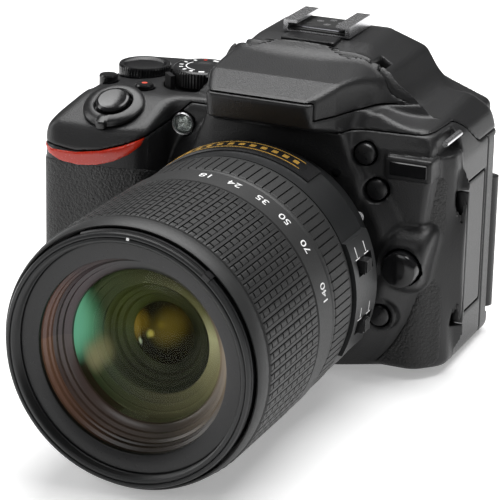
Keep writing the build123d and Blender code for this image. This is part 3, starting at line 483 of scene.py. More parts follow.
def ring_block(name, start, stop, forward, radius, material, body, edge=0.25,
               steps=40):
    """Curved block between two angles in degrees, two distances and two radii."""
    low_d, high_d = forward
    low_r, high_r = radius
    section = np.array([
        (low_r, low_d), (high_r - edge, low_d), (high_r, low_d + edge),
        (high_r, high_d - edge), (high_r - edge, high_d), (low_r, high_d),
    ])
    angle = np.radians(np.linspace(start, stop, steps))
    points = lens_points(
        np.repeat(section[:, 0][None, :], steps, axis=0),
        np.repeat(section[:, 1][None, :], steps, axis=0),
        np.repeat(angle[:, None], len(section), axis=1),
    ).reshape(-1, 3)
    count = len(section)
    faces = grid_faces(steps, count, False, True)
    faces.append(tuple(range(count)))
    faces.append(tuple(range((steps - 1) * count, steps * count)))
    return add_piece(name, points, faces, material, body)


print("helpers ready: add_piece, turned, lathe, ring_block")

# %% [markdown]
# The zoom ring carries a rubber sleeve. Its pattern repeats about eighty times: a deep
# groove, a plain bar, a shallow groove, then a row of small pads parted by cross cuts.
# The height of the rubber is written as a function of the angle and the distance.

# %% Zoom ring
ZOOM_PITCH = 84
RUBBER_LOW = 55.4
RUBBER_HIGH = 88.4
PAD_PITCH = 3.8


def zoom_columns():
    """Angles that follow the edges of every groove, bar and pad."""
    steps = np.array([0.0, 0.03, 0.11, 0.14, 0.27, 0.41, 0.44, 0.49, 0.52, 0.66, 0.80, 0.94])
    pitch = TAU / ZOOM_PITCH
    return (np.arange(ZOOM_PITCH)[:, None] * pitch + steps[None, :] * pitch).ravel()


def zoom_rows():
    """Distances of the rear band, the pads with their cuts, and the front band."""
    rows = [(35.6, 43.7), (37.7, 43.7), (38.3, 44.1), (38.7, 44.6), (38.7, 46.0),
            (38.75, 50.0), (38.75, 54.2), (38.4, 54.5), (38.4, 55.0)]
    rows += [(38.75, RUBBER_LOW), (38.8, RUBBER_LOW + 0.3)]
    pads = int((RUBBER_HIGH - RUBBER_LOW) / PAD_PITCH)
    for index in range(pads):
        cut = RUBBER_LOW + 0.3 + (index + 1) * PAD_PITCH
        if cut + 0.6 < RUBBER_HIGH - 0.6:
            rows += [(38.8, cut - 0.05), (38.8, cut + 0.08), (38.8, cut + 0.5),
                     (38.8, cut + 0.63)]
    rows += [(38.8, RUBBER_HIGH - 0.3), (38.7, RUBBER_HIGH), (38.35, RUBBER_HIGH + 0.3),
             (38.4, 89.0), (38.5, 89.6), (38.45, 91.0), (38.2, 92.6), (37.9, 93.8),
             (37.6, 94.3), (37.2, 94.2), (37.2, 88.8), (35.6, 88.8)]
    return rows


def zoom_relief(angle, forward, radius):
    """Depth of the grooves and cuts. Zero outside the rubber."""
    u = (angle / TAU * ZOOM_PITCH) % 1.0
    inside = (forward > RUBBER_LOW + 0.2) & (forward < RUBBER_HIGH - 0.2)
    deep = (u > 0.02) & (u < 0.12)
    shallow = (u > 0.43) & (u < 0.50)
    along = (forward - RUBBER_LOW - 0.3) / PAD_PITCH
    place = (along - np.round(along)) * PAD_PITCH
    cut = (place > 0.02) & (place < 0.55) & (u > 0.43) & (along > 0.5)
    pad_top = (u > 0.51) & ~cut
    depth = np.where(deep, -0.85, 0.0)
    depth = np.where(shallow, -0.14, depth)
    depth = np.where(cut, -0.55, depth)
    depth = np.where(pad_top, 0.08, depth)
    return np.where(inside & (radius > 38.0), depth, 0.0)


def zoom_ring_mesh():
    """Zoom ring with its rubber sleeve."""
    profile = zoom_rows()
    angle = zoom_columns()
    radius, forward, angles = turned(profile, angle)
    radius = radius + zoom_relief(angles, forward, radius)
    points = lens_points(radius, forward, angles).reshape(-1, 3)
    faces = grid_faces(len(profile), len(angle), True, True)
    return add_piece("zoom_ring_skin", points, faces, ring_rubber, "zoom_ring",
                     30, ("zoom_ring",))


zoom_skin = zoom_ring_mesh()
print("zoom ring faces:", len(zoom_skin.data.polygons))

# %% [markdown]
# The focus ring is narrower, with about ninety flat ribs between smooth rims.

# %% Focus ring
FOCUS_RIBS = 92
RIB_LOW = 29.6
RIB_HIGH = 41.0


def focus_ring_mesh():
    """Focus ring with its flat ribs."""
    pitch = TAU / FOCUS_RIBS
    steps = np.array([0.0, 0.04, 0.14, 0.18, 0.59])
    angle = (np.arange(FOCUS_RIBS)[:, None] * pitch + steps[None, :] * pitch).ravel()
    profile = [
        (35.6, 27.4), (37.5, 27.4), (37.9, 27.8), (38.0, 28.8), (38.0, RIB_LOW),
        (38.2, RIB_LOW + 0.3), (38.2, 35.0), (38.2, RIB_HIGH - 0.3), (38.0, RIB_HIGH),
        (38.1, 41.4), (38.1, 42.6), (37.7, 43.3), (35.6, 43.3),
    ]
    radius, forward, angles = turned(profile, angle)
    u = (angles / TAU * FOCUS_RIBS) % 1.0
    inside = (forward > RIB_LOW - 0.1) & (forward < RIB_HIGH + 0.1) & (radius > 37)
    radius = radius + np.where(inside & (u > 0.03) & (u < 0.15), -0.65, 0.0)
    points = lens_points(radius, forward, angles).reshape(-1, 3)
    faces = grid_faces(len(profile), len(angle), True, True)
    return add_piece("focus_ring_skin", points, faces, ring_rubber, "focus_ring",
                     30, ("focus_ring",))


focus_skin = focus_ring_mesh()
print("focus ring faces:", len(focus_skin.data.polygons))

# %% [markdown]
# Scale numbers stand around the rear band of the zoom ring. Plain text is turned into a
# mesh and bent around the ring, so every number follows the curve.

# %% Scale numbers
def bent_text(name, text, size, angle_deg, forward, radius, material, body,
              thickness=0.03):
    """Text lying on a turned surface, its top toward the front of the lens."""
    curve = bpy.data.curves.new(name, "FONT")
    curve.body = text
    curve.size = size
    curve.align_x = "CENTER"
    curve.align_y = "CENTER"
    curve.extrude = thickness
    source = bpy.data.objects.new(name, curve)
    bpy.context.scene.collection.objects.link(source)
    bpy.context.view_layer.update()
    flat = bpy.data.meshes.new_from_object(
        source.evaluated_get(bpy.context.evaluated_depsgraph_get())
    )
    points = np.array([v.co for v in flat.vertices])
    faces = [tuple(p.vertices) for p in flat.polygons]
    bpy.data.objects.remove(source)
    bpy.data.curves.remove(curve)
    bpy.data.meshes.remove(flat)
    angle = math.radians(angle_deg) + points[:, 0] / radius
    bent = lens_points(radius + points[:, 2], forward + points[:, 1], angle)
    return add_piece(name, bent, faces, material, body)


SCALE = [("18", 88.3), ("24", 75.4), ("35", 62.0), ("50", 49.8), ("70", 35.8), ("140", 14.8)]
for text, angle in SCALE:
    bent_text("scale_" + text, text, 4.2, angle, 48.4, 38.76, paint_white, "zoom_ring")
ring_block("zoom_index", 89.2, 90.2, (43.0, 43.25), (37.5, 37.95), paint_white,
           "focus_ring", edge=0.05, steps=4)
print("scale numbers:", [text for text, angle in SCALE])

# %% [markdown]
# The front of the lens: a rim with fine concentric steps, a raised bar for the hood, the
# turns of the filter thread, then a wide flat ring that slopes in to the glass. All of it
# is round, so profiles turned about the lens axis give it exactly.

# %% Front barrel
def thread_profile(count, outer, depth, first, pitch):
    """Zigzag of a few thread turns, going inward from the rim."""
    rows = []
    for index in range(count):
        place = first - index * pitch
        rows += [(outer, place), (outer + depth, place - pitch * 0.5)]
    return rows


rim_profile = [(31.9, 30.0), (33.1, 30.0), (33.1, 89.0), (36.0, 89.0), (36.3, 89.3),
               (36.3, 94.6), (36.1, 94.9), (36.1, 95.3), (36.4, 95.6), (36.4, 96.4),
               (36.1, 96.85), (35.5, 97.0), (35.2, 96.9), (35.0, 96.6), (34.7, 96.9),
               (34.2, 97.0), (33.8, 96.9)]
rim_profile += thread_profile(5, 33.45, 0.22, 96.6, 0.55)
rim_profile += [(33.4, 93.95), (31.9, 93.6)]
lathe("front_barrel_skin", rim_profile, barrel_plastic, "front_group",
      segments=240, sharp=25, replaces=("front_barrel",))
name_ring_profile = [(33.4, 93.9), (33.0, 94.05), (32.6, 94.0), (28.4, 93.5), (28.0, 93.3),
                     (27.9, 92.9), (27.9, 92.0), (31.8, 92.0), (31.8, 93.5)]
lathe("name_ring", name_ring_profile, satin_plastic, "front_group",
      segments=200)
ring_block("hood_bar", 51.5, 112.0, (95.0, 96.3), (36.2, 37.0), satin_plastic,
           "front_group", edge=0.3, steps=60)
ring_block("hood_bar_end", 48.5, 52.0, (93.4, 97.1), (35.6, 37.1), satin_plastic,
           "front_group", edge=0.25, steps=6)
ring_block("hood_dot", 88.4, 89.8, (97.0, 97.06), (34.6, 35.4), paint_white,
           "front_group", edge=0.01, steps=6)
print("rim at", rim_profile[-1][1], "ring narrows to radius", name_ring_profile[5][0])


# %% [markdown]
# Inside the lens each coloured sheen is a painted reflection on its own side. A shader reads
# the angle around the lens axis from the object coordinates and picks the colour from a ramp.
# So one ring can carry a painted red-brown reflection on its left and a painted pale tan
# highlight on its right, and it can glow in that colour.

# %% Painted reflections that follow the angle round the lens
def painted_sheen_by_angle(name, stops, rough, streak=0.35, painted_glow=0.0):
    """Principled shader whose colour is a painted reflection that follows the angle round the
    lens axis.
    """
    material, tree, shader = new_material(name)
    place = tree.nodes.new("ShaderNodeTexCoord")
    parts = tree.nodes.new("ShaderNodeSeparateXYZ")
    tree.links.new(place.outputs["Object"], parts.inputs[0])
    height = tree.nodes.new("ShaderNodeMath")
    height.operation = "SUBTRACT"
    tree.links.new(parts.outputs["Z"], height.inputs[0])
    height.inputs[1].default_value = LENS_Z * MM
    angle = tree.nodes.new("ShaderNodeMath")
    angle.operation = "ARCTAN2"
    tree.links.new(height.outputs[0], angle.inputs[0])
    tree.links.new(parts.outputs["X"], angle.inputs[1])
    share = tree.nodes.new("ShaderNodeMath")
    share.operation = "MULTIPLY_ADD"
    tree.links.new(angle.outputs[0], share.inputs[0])
    share.inputs[1].default_value = 1 / TAU
    share.inputs[2].default_value = 0.5
    colour = ramp(tree, share.outputs[0], stops)
    lines = noise(tree, 900, 2.0, (0.02, 1, 0.02))
    shade = ramp(tree, lines, [(0.3, (1 - streak,) * 3), (0.7, (1, 1, 1))])
    mix = tree.nodes.new("ShaderNodeMixRGB")
    mix.blend_type = "MULTIPLY"
    mix.inputs[0].default_value = 1.0
    tree.links.new(colour, mix.inputs[1])
    tree.links.new(shade, mix.inputs[2])
    tree.links.new(mix.outputs[0], shader.inputs["Base Color"])
    shader.inputs["Roughness"].default_value = rough
    # The painted sheen also glows in its own colour.
    if painted_glow:
        tree.links.new(mix.outputs[0], shader.inputs["Emission Color"])
        shader.inputs["Emission Strength"].default_value = painted_glow
    return material


# Painted reflections on the four inner walls: the bright stops are painted highlights, and the
# glow makes them shine though no lamp is there.
bore_painted_sheen = painted_sheen_by_angle("bore_painted_sheen", [
    (0.00, (0.16, 0.075, 0.045)), (0.10, (0.11, 0.055, 0.035)), (0.22, (0.012, 0.008, 0.006)),
    (0.40, (0.02, 0.014, 0.008)), (0.50, (0.14, 0.10, 0.06)), (0.56, (0.05, 0.04, 0.02)),
    (0.70, (0.008, 0.008, 0.008)), (0.86, (0.03, 0.016, 0.016)), (0.95, (0.11, 0.05, 0.035)),
], 0.32, painted_glow=0.35)
cone_painted_sheen = painted_sheen_by_angle("cone_painted_sheen", [
    (0.00, (0.045, 0.030, 0.028)), (0.14, (0.05, 0.032, 0.026)), (0.30, (0.03, 0.024, 0.018)),
    (0.42, (0.10, 0.075, 0.05)), (0.52, (0.22, 0.17, 0.11)), (0.62, (0.03, 0.028, 0.02)),
    (0.75, (0.005, 0.006, 0.006)), (0.90, (0.03, 0.018, 0.020)),
], 0.3, painted_glow=0.3)
step_painted_sheen = painted_sheen_by_angle("step_painted_sheen", [
    (0.00, (0.012, 0.035, 0.018)), (0.12, (0.02, 0.03, 0.018)), (0.26, (0.05, 0.045, 0.036)),
    (0.38, (0.09, 0.08, 0.062)), (0.46, (0.22, 0.19, 0.155)), (0.53, (0.42, 0.39, 0.345)),
    (0.60, (0.10, 0.09, 0.06)), (0.72, (0.03, 0.028, 0.012)), (0.86, (0.015, 0.024, 0.012)),
], 0.28, painted_glow=0.8)
funnel_painted_sheen = painted_sheen_by_angle("funnel_painted_sheen", [
    (0.00, (0.04, 0.06, 0.012)), (0.15, (0.006, 0.009, 0.002)), (0.35, (0.001, 0.0015, 0.001)),
    (0.55, (0.004, 0.005, 0.002)), (0.72, (0.03, 0.032, 0.008)), (0.88, (0.05, 0.065, 0.012)),
], 0.4, painted_glow=0.25)
print("sheens:", [m.name for m in (bore_painted_sheen, cone_painted_sheen, step_painted_sheen, funnel_painted_sheen)])

# %% [markdown]
# Behind the front glass a real cell narrows in many small black steps, which keep stray light
# out. Four turned walls follow each other inward, each with its own painted sheen.

# %% Cell walls behind the glass
lathe("bore_wall", [(27.9, 92.0), (27.85, 91.2), (27.0, 90.6), (26.9, 89.4), (26.4, 89.1),
                    (26.3, 88.2), (31.8, 88.0), (31.8, 92.0)],
      bore_painted_sheen, "front_group")
lathe("cell_cone", [(26.3, 88.2), (25.6, 87.6), (25.4, 86.8), (24.4, 86.4), (24.2, 85.6),
                    (23.0, 85.2), (22.3, 84.6), (22.1, 80.8), (31.8, 80.8), (31.8, 88.0)],
      cone_painted_sheen, "front_group")
lathe("cell_steps", [(22.1, 80.8), (21.6, 80.5), (20.3, 80.3), (20.2, 79.8), (19.9, 79.7),
                     (18.3, 79.3), (18.2, 78.7), (17.9, 78.6), (16.2, 78.1), (16.0, 77.4),
                     (18.0, 76.4), (22.1, 76.4)],
      step_painted_sheen, "front_group")
lathe("cell_funnel", [(16.0, 77.4), (15.2, 77.0), (14.6, 76.0), (13.6, 75.6), (13.2, 74.6),
                      (12.0, 74.2), (11.4, 73.2), (10.2, 72.8), (9.1, 72.0), (9.0, 69.0),
                      (10.6, 69.0), (12.8, 72.6), (16.0, 76.0)],
      funnel_painted_sheen, "front_group")
print("cell narrows from radius 27.9 to 9.0")


# %% [markdown]
# The front glass is a shallow dome. A painted reflection lays a green sheen on the left of the
# glass, which fades toward the middle. Each patch of painted sheen is a soft glow whose
# strength depends on where the point lies on the dome.

# %% Front glass and inner lens
def dome_profile(radius, edge, sphere, rear, steps=14):
    """Convex glass from its centre out to the edge, then straight back."""
    rows = []
    centre = edge - math.sqrt(sphere ** 2 - radius ** 2)
    for index in range(steps + 1):
        r = max(radius * index / steps, 0.02)
        rows.append((r, centre + math.sqrt(sphere ** 2 - r ** 2)))
    rows.append((radius, rear))
    rows.append((0.02, rear))
    return rows


def painted_sheen_glass(name, painted_spots, clear):
    """Clear glass with soft glowing patches of painted reflection. Each spot is x, z, radius,
    stretch, colour, weight.
    """
    material = bpy.data.materials.new(name)
    material.use_nodes = True
    tree = material.node_tree
    output = tree.nodes["Material Output"]
    tree.nodes.remove(tree.nodes["Principled BSDF"])
    place = tree.nodes.new("ShaderNodeTexCoord")
    base = tree.nodes.new("ShaderNodeBsdfTransparent")
    base.inputs["Color"].default_value = (*clear, 1)
    shine = tree.nodes.new("ShaderNodeBsdfGlossy")
    shine.inputs["Roughness"].default_value = 0.04
    fresnel = tree.nodes.new("ShaderNodeFresnel")
    fresnel.inputs["IOR"].default_value = 1.16
    mix = tree.nodes.new("ShaderNodeMixShader")
    tree.links.new(fresnel.outputs[0], mix.inputs[0])
    tree.links.new(base.outputs[0], mix.inputs[1])
    tree.links.new(shine.outputs[0], mix.inputs[2])
    result = mix.outputs[0]
    # Each spot lays one glowing patch of painted reflection over the glass.
    for x, z, spread, stretch, colour, weight in painted_spots:
        offset = tree.nodes.new("ShaderNodeMapping")
        offset.inputs["Location"].default_value = (-x * MM * stretch, 0, -z * MM)
        offset.inputs["Scale"].default_value = (stretch, 0, 1)
        tree.links.new(place.outputs["Object"], offset.inputs["Vector"])
        distance = tree.nodes.new("ShaderNodeVectorMath")
        distance.operation = "LENGTH"
        tree.links.new(offset.outputs["Vector"], distance.inputs[0])
        fade = tree.nodes.new("ShaderNodeMapRange")
        fade.interpolation_type = "SMOOTHSTEP"
        fade.inputs["From Min"].default_value = spread * MM
        fade.inputs["From Max"].default_value = spread * 0.15 * MM
        fade.inputs["To Min"].default_value = 0.0
        fade.inputs["To Max"].default_value = weight
        tree.links.new(distance.outputs["Value"], fade.inputs["Value"])
        glow = tree.nodes.new("ShaderNodeEmission")
        glow.inputs["Color"].default_value = (*colour, 1)
        layer = tree.nodes.new("ShaderNodeMixShader")
        tree.links.new(fade.outputs[0], layer.inputs[0])
        tree.links.new(result, layer.inputs[1])
        tree.links.new(glow.outputs[0], layer.inputs[2])
        result = layer.outputs[0]
    tree.links.new(result, output.inputs["Surface"])
    return material


# Painted reflections on the front glass: a green one on the left and a dim olive one lower and
# nearer the middle.
front_painted_sheen = painted_sheen_glass("front_painted_sheen", [
    (-22.0, LENS_Z + 3.0, 13.5, 1.5, (0.11, 0.33, 0.21), 0.85),
    (-14.5, LENS_Z - 4.5, 6.5, 1.3, (0.24, 0.22, 0.12), 0.5),
], (0.80, 0.82, 0.68))
lathe("front_glass", dome_profile(22.0, 84.1, 45.0, 81.0), front_painted_sheen, "front_group",
      segments=120, replaces=("front_element",))
# Painted reflections on the inner glass: two amber patches and two small painted highlights.
inner_painted_sheen = painted_sheen_glass("inner_painted_sheen", [
    (-7.6, LENS_Z + 1.0, 5.0, 1.6, (0.22, 0.15, 0.03), 0.8),
    (2.0, LENS_Z + 2.5, 6.5, 1.0, (0.13, 0.09, 0.015), 0.7),
    (-2.0, LENS_Z + 1.0, 1.6, 1.0, (0.55, 0.45, 0.12), 0.7),
    (-6.0, LENS_Z - 2.5, 1.6, 1.6, (0.55, 0.62, 0.60), 0.8),
], (0.6, 0.55, 0.25))
lathe("inner_glass", dome_profile(9.0, 73.0, 12.0, 70.0), inner_painted_sheen, "front_group",
      segments=80)
# A closed black disc behind the inner glass is painted shade for the dark depth of the lens.
lathe("painted_shade_disc", [(0.02, 69.4), (9.0, 69.4), (9.0, 69.0), (0.02, 69.0)], inner_black,
      "front_group", segments=60)

# %% [markdown]
# The camera's shell is one soft moulded form, cut into covers. It is written as a signed
# distance: a number at every point in space that is negative inside and positive outside.
# Two forms blend when their distances are joined by a smooth minimum, and a form is
# trimmed by a smooth maximum, which leaves a rounded edge like that of a real moulding.

# %% Distance helpers
def smooth_max(a, b, k):
    """Intersection with an edge rounded over about k millimetres."""
    mix = np.clip(0.5 + 0.5 * (a - b) / k, 0, 1)
    return b + (a - b) * mix + k * mix * (1 - mix)


def smooth_min(a, b, k):
    """Union with a fillet of about k millimetres."""
    return -smooth_max(-a, -b, k)


def rounded(corners, radii, steps=5):
    """Outline with each corner replaced by an arc."""
    corners = np.array(corners, dtype=float)
    outline = []
    count = len(corners)
    for index in range(count):
        here = corners[index]
        before = corners[index - 1] - here
        after = corners[(index + 1) % count] - here
        radius = radii[index]
        if radius <= 0:
            outline.append(here)
            continue
        before = before / np.linalg.norm(before)
        after = after / np.linalg.norm(after)
        half = 0.5 * math.acos(np.clip(before @ after, -1, 1))
        reach = radius / math.tan(half)
        middle = before + after
        centre = here + middle / np.linalg.norm(middle) * radius / math.sin(half)
        first = here + before * reach - centre
        last = here + after * reach - centre
        start = math.atan2(first[1], first[0])
        sweep = math.atan2(last[1], last[0]) - start
        sweep = (sweep + math.pi) % TAU - math.pi
        for step in range(steps + 1):
            angle = start + sweep * step / steps
            outline.append(centre + radius * np.array((math.cos(angle), math.sin(angle))))
    return np.array(outline)


def outline_distance(outline, u, v):
    """Signed distance to a closed outline in one plane."""
    nearest = None
    inside = None
    for index in range(len(outline)):
        a = outline[index]
        b = outline[(index + 1) % len(outline)]
        edge = b - a
        pu = u - a[0]
        pv = v - a[1]
        share = np.clip((pu * edge[0] + pv * edge[1]) / (edge @ edge), 0, 1)
        away = (pu - edge[0] * share) ** 2 + (pv - edge[1] * share) ** 2
        nearest = away if nearest is None else np.minimum(nearest, away)
        crosses = (a[1] > v) != (b[1] > v)
        left = pu < edge[0] * pv / (edge[1] if edge[1] else 1e-9)
        hit = crosses & left
        inside = hit if inside is None else inside ^ hit
    return np.where(inside, -1.0, 1.0) * np.sqrt(nearest)


def box_distance(x, y, z, low, high, radius=0.0):
    """Signed distance to a box with rounded edges."""
    gaps = []
    for value, lo, hi in ((x, low[0], high[0]), (y, low[1], high[1]), (z, low[2], high[2])):
        gaps.append(np.abs(value - (lo + hi) / 2) - (hi - lo) / 2 + radius)
    outside = sum(np.maximum(g, 0) ** 2 for g in gaps) ** 0.5
    inside = np.minimum(np.maximum(np.maximum(gaps[0], gaps[1]), gaps[2]), 0)
    return outside + inside - radius


def rod_distance(across, along, radius, low, high):
    """Signed distance to a round rod, from the distance to its axis and along it."""
    return np.maximum(across - radius, np.maximum(low - along, along - high))


print("rod check, 2 mm inside:", rod_distance(1.0, 0.0, 3.0, -9, 9))

# %% [markdown]
# A distance field becomes a mesh in a grid of small cells. Every cell that the surface
# crosses gets one point, at the middle of its crossings, and four neighbouring points
# make a quad. The points are then pulled onto the surface, so the edges stay smooth.

# %% Surface of a distance field
def sample(field, places):
    """Value of a field between its grid points."""
    base = np.clip(np.floor(places).astype(int), 0, np.array(field.shape) - 2)
    part = places - base
    total = 0
    for corner in range(8):
        offset = np.array([(corner >> 0) & 1, (corner >> 1) & 1, (corner >> 2) & 1])
        weight = np.prod(np.where(offset, part, 1 - part), axis=1)
        index = base + offset
        total = total + weight * field[index[:, 0], index[:, 1], index[:, 2]]
    return total


PULLS = 2
PULL_STEP = 0.5
PULL_LIMIT = 0.35


def surface_of(field_of, low, high, cell):
    """Points and quads where the distance is zero, inside a box."""
    low = np.array(low, dtype=float)
    axes = [np.arange(low[i], high[i] + cell, cell) for i in range(3)]
    shape = tuple(len(a) for a in axes)
    x = axes[0][:, None, None]
    y = axes[1][None, :, None]
    z = axes[2][None, None, :]
    field = np.broadcast_to(field_of(x, y, z), shape).astype(np.float32).copy()
    for axis in range(3):
        edge = [slice(None)] * 3
        for side in (0, -1):
            edge[axis] = side
            field[tuple(edge)] = np.maximum(field[tuple(edge)], cell * 0.5)
    sign = field < 0
    cells = tuple(n - 1 for n in shape)
    total = np.zeros(cells + (3,), dtype=np.float32)
    count = np.zeros(cells, dtype=np.int32)
    crossings = []
    for axis in range(3):
        head = [slice(None)] * 3
        tail = [slice(None)] * 3
        head[axis] = slice(0, -1)
        tail[axis] = slice(1, None)
        first = field[tuple(head)]
        second = field[tuple(tail)]
        hits = np.argwhere(sign[tuple(head)] != sign[tuple(tail)])
        values = first[tuple(hits.T)]
        share = values / (values - second[tuple(hits.T)])
        place = hits.astype(np.float32)
        place[:, axis] += share
        others = [i for i in range(3) if i != axis]
        for a in (0, 1):
            for b in (0, 1):
                cell_index = hits.copy()
                cell_index[:, others[0]] -= a
                cell_index[:, others[1]] -= b
                good = np.all((cell_index >= 0) & (cell_index < np.array(cells)), axis=1)
                where = tuple(cell_index[good].T)
                np.add.at(total, where, place[good])
                np.add.at(count, where, 1)
        crossings.append((axis, others, hits, sign[tuple(head)][tuple(hits.T)]))
    active = count > 0
    number = np.full(cells, -1, dtype=np.int64)
    number[active] = np.arange(active.sum())
    points = total[active] / count[active][:, None]
    faces = []
    for axis, others, hits, inside in crossings:
        inner = np.all(hits[:, others] > 0, axis=1)
        hits = hits[inner]
        inside = inside[inner]
        corner_ids = []
        for a, b in ((0, 0), (1, 0), (1, 1), (0, 1)):
            index = hits.copy()
            index[:, others[0]] -= a
            index[:, others[1]] -= b
            corner_ids.append(number[tuple(index.T)])
        quad = np.stack(corner_ids, axis=1)
        flip = inside if axis != 1 else ~inside
        quad[flip] = quad[flip][:, ::-1]
        faces.append(quad)
    faces = np.concatenate(faces)
    faces = faces[np.all(faces >= 0, axis=1)]
    for _ in range(PULLS):
        slope = np.stack([
            sample(field, points + np.eye(3)[i] * PULL_STEP)
            - sample(field, points - np.eye(3)[i] * PULL_STEP)
            for i in range(3)
        ], axis=1)
        size = np.maximum(np.sum(slope ** 2, axis=1), 0.05 * cell * cell)
        move = sample(field, points)[:, None] * slope / size[:, None]
        points = points - np.clip(move, -PULL_LIMIT, PULL_LIMIT)
    return points * cell + low, faces


def skin(name, field_of, low, high, cell, material, body, replaces=(), sharp=38):
    """Piece from a distance field."""
    points, faces = surface_of(field_of, low, high, cell)
    piece = add_piece(name, points, faces.tolist(), material, body, sharp, replaces)
    print(name, "faces:", len(faces))
    return piece


# %% [markdown]
# The outer form starts from the same kind of outlines as the mechanical body: one seen
# from above, one from the side and one from the front. The round housing of the lens
# mount, the neck, the viewfinder hump and the bulge of the lens release are blended on.

# %% Outer form of the camera body
GRIP_SWELL = 2.8
PLAN = rounded([
    (GRIP_X, REAR_Y), (PORT_X, REAR_Y), (PORT_X, FRONT_Y + 9), (PORT_X - 8.5, FRONT_Y),
    (-36, FRONT_Y), (-38.5, GRIP_Y + 3.5), (-52, GRIP_Y - 1), (GRIP_X + 1.5, GRIP_Y - 1),
    (GRIP_X - GRIP_SWELL, GRIP_Y + 12), (GRIP_X - 1.5, 8),
], [9, 5, 4, 8, 4, 5, 20, 7, 9, 30])
SIDE = rounded([
    (GRIP_Y + 2.5, 0), (GRIP_Y, 18), (GRIP_Y, 61), (GRIP_Y + 2.5, 67.5), (FRONT_Y + 2, 76),
    (REAR_Y - 6, 79), (REAR_Y, 70), (REAR_Y, 0),
], [3.2, 20, 6, 4, 12, 6, 5, 4])
FRONT = rounded([
    (GRIP_X - GRIP_SWELL, 0), (GRIP_X - GRIP_SWELL, 63.5), (GRIP_X + 6, 74), (-40, 76),
    (-24, 79), (22, 79), (PORT_X - 9, 77.5), (PORT_X - 3, 72), (PORT_X, 64), (PORT_X, 0),
], [4, 8, 5, 20, 20, 20, 6, 6, 6, 4])
MOUNT_FRONT = -28
NECK = rounded([(-27, 34), (27, 34), (27, 62), (21, 74.5), (-22, 74.5), (-27, 62)],
               [0, 0, 2, 2, 2, 2])
HUMP_FRONT = rounded([
    (-31, 66), (-31, 76), (-26, 84.5), (-17, 93.6), (17, 93.6), (27, 87.5), (34.3, 76),
    (34.3, 66),
], [0, 6, 8, 4, 4, 6, 4, 0])
HUMP_SIDE = rounded([
    (-39.5, 77.2), (-42.5, 85.5), (-30, 89.3), (-10, 91.3), (3, 93.6), (23, 93.6),
    (29, 88), (29, 66), (-26, 66), (-28, 74),
], [1.5, 1.5, 0, 0, 3, 4, 3, 0, 0, 0])
HUMP_PLAN = rounded([
    (-15.5, -43), (15.5, -43), (21, -32), (26, -17), (34.3, 4), (34.3, 30), (-31, 30),
    (-31, 14), (-23.6, 7), (-21.6, -17), (-19.5, -32),
], [2.5, 2.5, 3, 4, 4, 5, 5, 3, 3, 4, 3])


def block_form(x, y, z):
    """The body without housing or hump: three outlines met in a rounded edge."""
    plan = outline_distance(PLAN, x, y)
    side = outline_distance(SIDE, y, z)
    front = outline_distance(FRONT, x, z)
    return smooth_max(smooth_max(plan, side, 3.0), front, 3.0)


def housing_form(x, y, z):
    """Flared housing round the lens mount, with the neck above it."""
    around = np.sqrt(x ** 2 + (z - LENS_Z) ** 2)
    cone = (around - 37 - (y - MOUNT_FRONT) * 7 / 6) * 0.65
    disc = smooth_max(cone, MOUNT_FRONT - y, 1.6)
    neck = smooth_max(outline_distance(NECK, x, z), MOUNT_FRONT - y, 1.6)
    joined = smooth_min(disc, neck, 2.0)
    return np.maximum(np.maximum(joined, y + 8), 0.4 - z)


def hump_form(x, y, z):
    """Viewfinder hump."""
    front = outline_distance(HUMP_FRONT, x, z)
    side = outline_distance(HUMP_SIDE, y, z)
    plan = outline_distance(HUMP_PLAN, x, y)
    return smooth_max(smooth_max(front, side, 1.6), plan, 2.0)


PANEL = rounded([
    (14, 79), (30, 79), (47.5, 72.5), (47.5, 60), (45.5, 44), (39, 27), (28, 20), (14, 40),
], [0, 3, 3, 8, 10, 6, 4, 0])


def panel_form(x, y, z):
    """Raised front panel beside the mount, which carries two buttons and the badge."""
    slope = -25.4 + (x - 28) * 0.13 - y + np.clip(z - 70, 0, 20) * 0.55
    return smooth_max(outline_distance(PANEL, x, z), slope, 1.6)


def bump_form(x, y, z):
    """Barrel-shaped bulge of the lens release and the low boss of the drive button."""
    along = np.abs(x - 41.6 - (z - 37.0) * 0.15) - 7.0
    around = np.sqrt((y + 20.5) ** 2 + ((z - 37.0) * 0.95) ** 2) - 10.2
    bulge = smooth_max(smooth_max(around, along, 5.0), -30.2 - y, 2.5)
    boss = rod_distance(np.sqrt((x - 35.0) ** 2 + (z - 19.4) ** 2), y, 5.2, -27.4, -10)
    return bulge, boss


def outer_form(x, y, z):
    """Whole outer form, before anything is cut from it."""
    form = block_form(x, y, z)
    bulge, bosses = bump_form(x, y, z)
    form = smooth_min(form, bosses, 1.5)
    form = smooth_min(form, panel_form(x, y, z), 2.0)
    form = smooth_min(form, housing_form(x, y, z), 0.8)
    form = smooth_min(form, bulge, 1.2)
    badge = box_distance(x, y, z, (34.6, -26.2, 61.6), (49.0, -15, 68.6), 0.8)
    form = smooth_min(form, badge, 0.5)
    return smooth_min(form, hump_form(x, y, z), 3.5)


print("outline corners after rounding:", len(PLAN), len(SIDE), len(FRONT))

# %% [markdown]
# Holes come next: the throat of the mount, the wells of the dials and buttons, the doors,
# the recess behind the screen, the strap pockets and the well of the flash head.

# %% Openings in the shell
RELEASE_PLACE = np.array((-52.3, -28.1, 72.0))
RELEASE_TILT = math.radians(25)
NOSE_HINGE = (0.0, 82.0)


def release_frame(x, y, z):
    """Distance from the tilted shutter axis, and height along it."""
    up_y = -math.sin(RELEASE_TILT)
    up_z = math.cos(RELEASE_TILT)
    dx = x - RELEASE_PLACE[0]
    dy = y - RELEASE_PLACE[1]
    dz = z - RELEASE_PLACE[2]
    height = dy * up_y + dz * up_z
    across = np.sqrt(dx ** 2 + (dy * up_z - dz * up_y) ** 2)
    return across, height


NOSE_REACH = 13.4
DEGREE_ARC = 0.017      # about one degree in radians


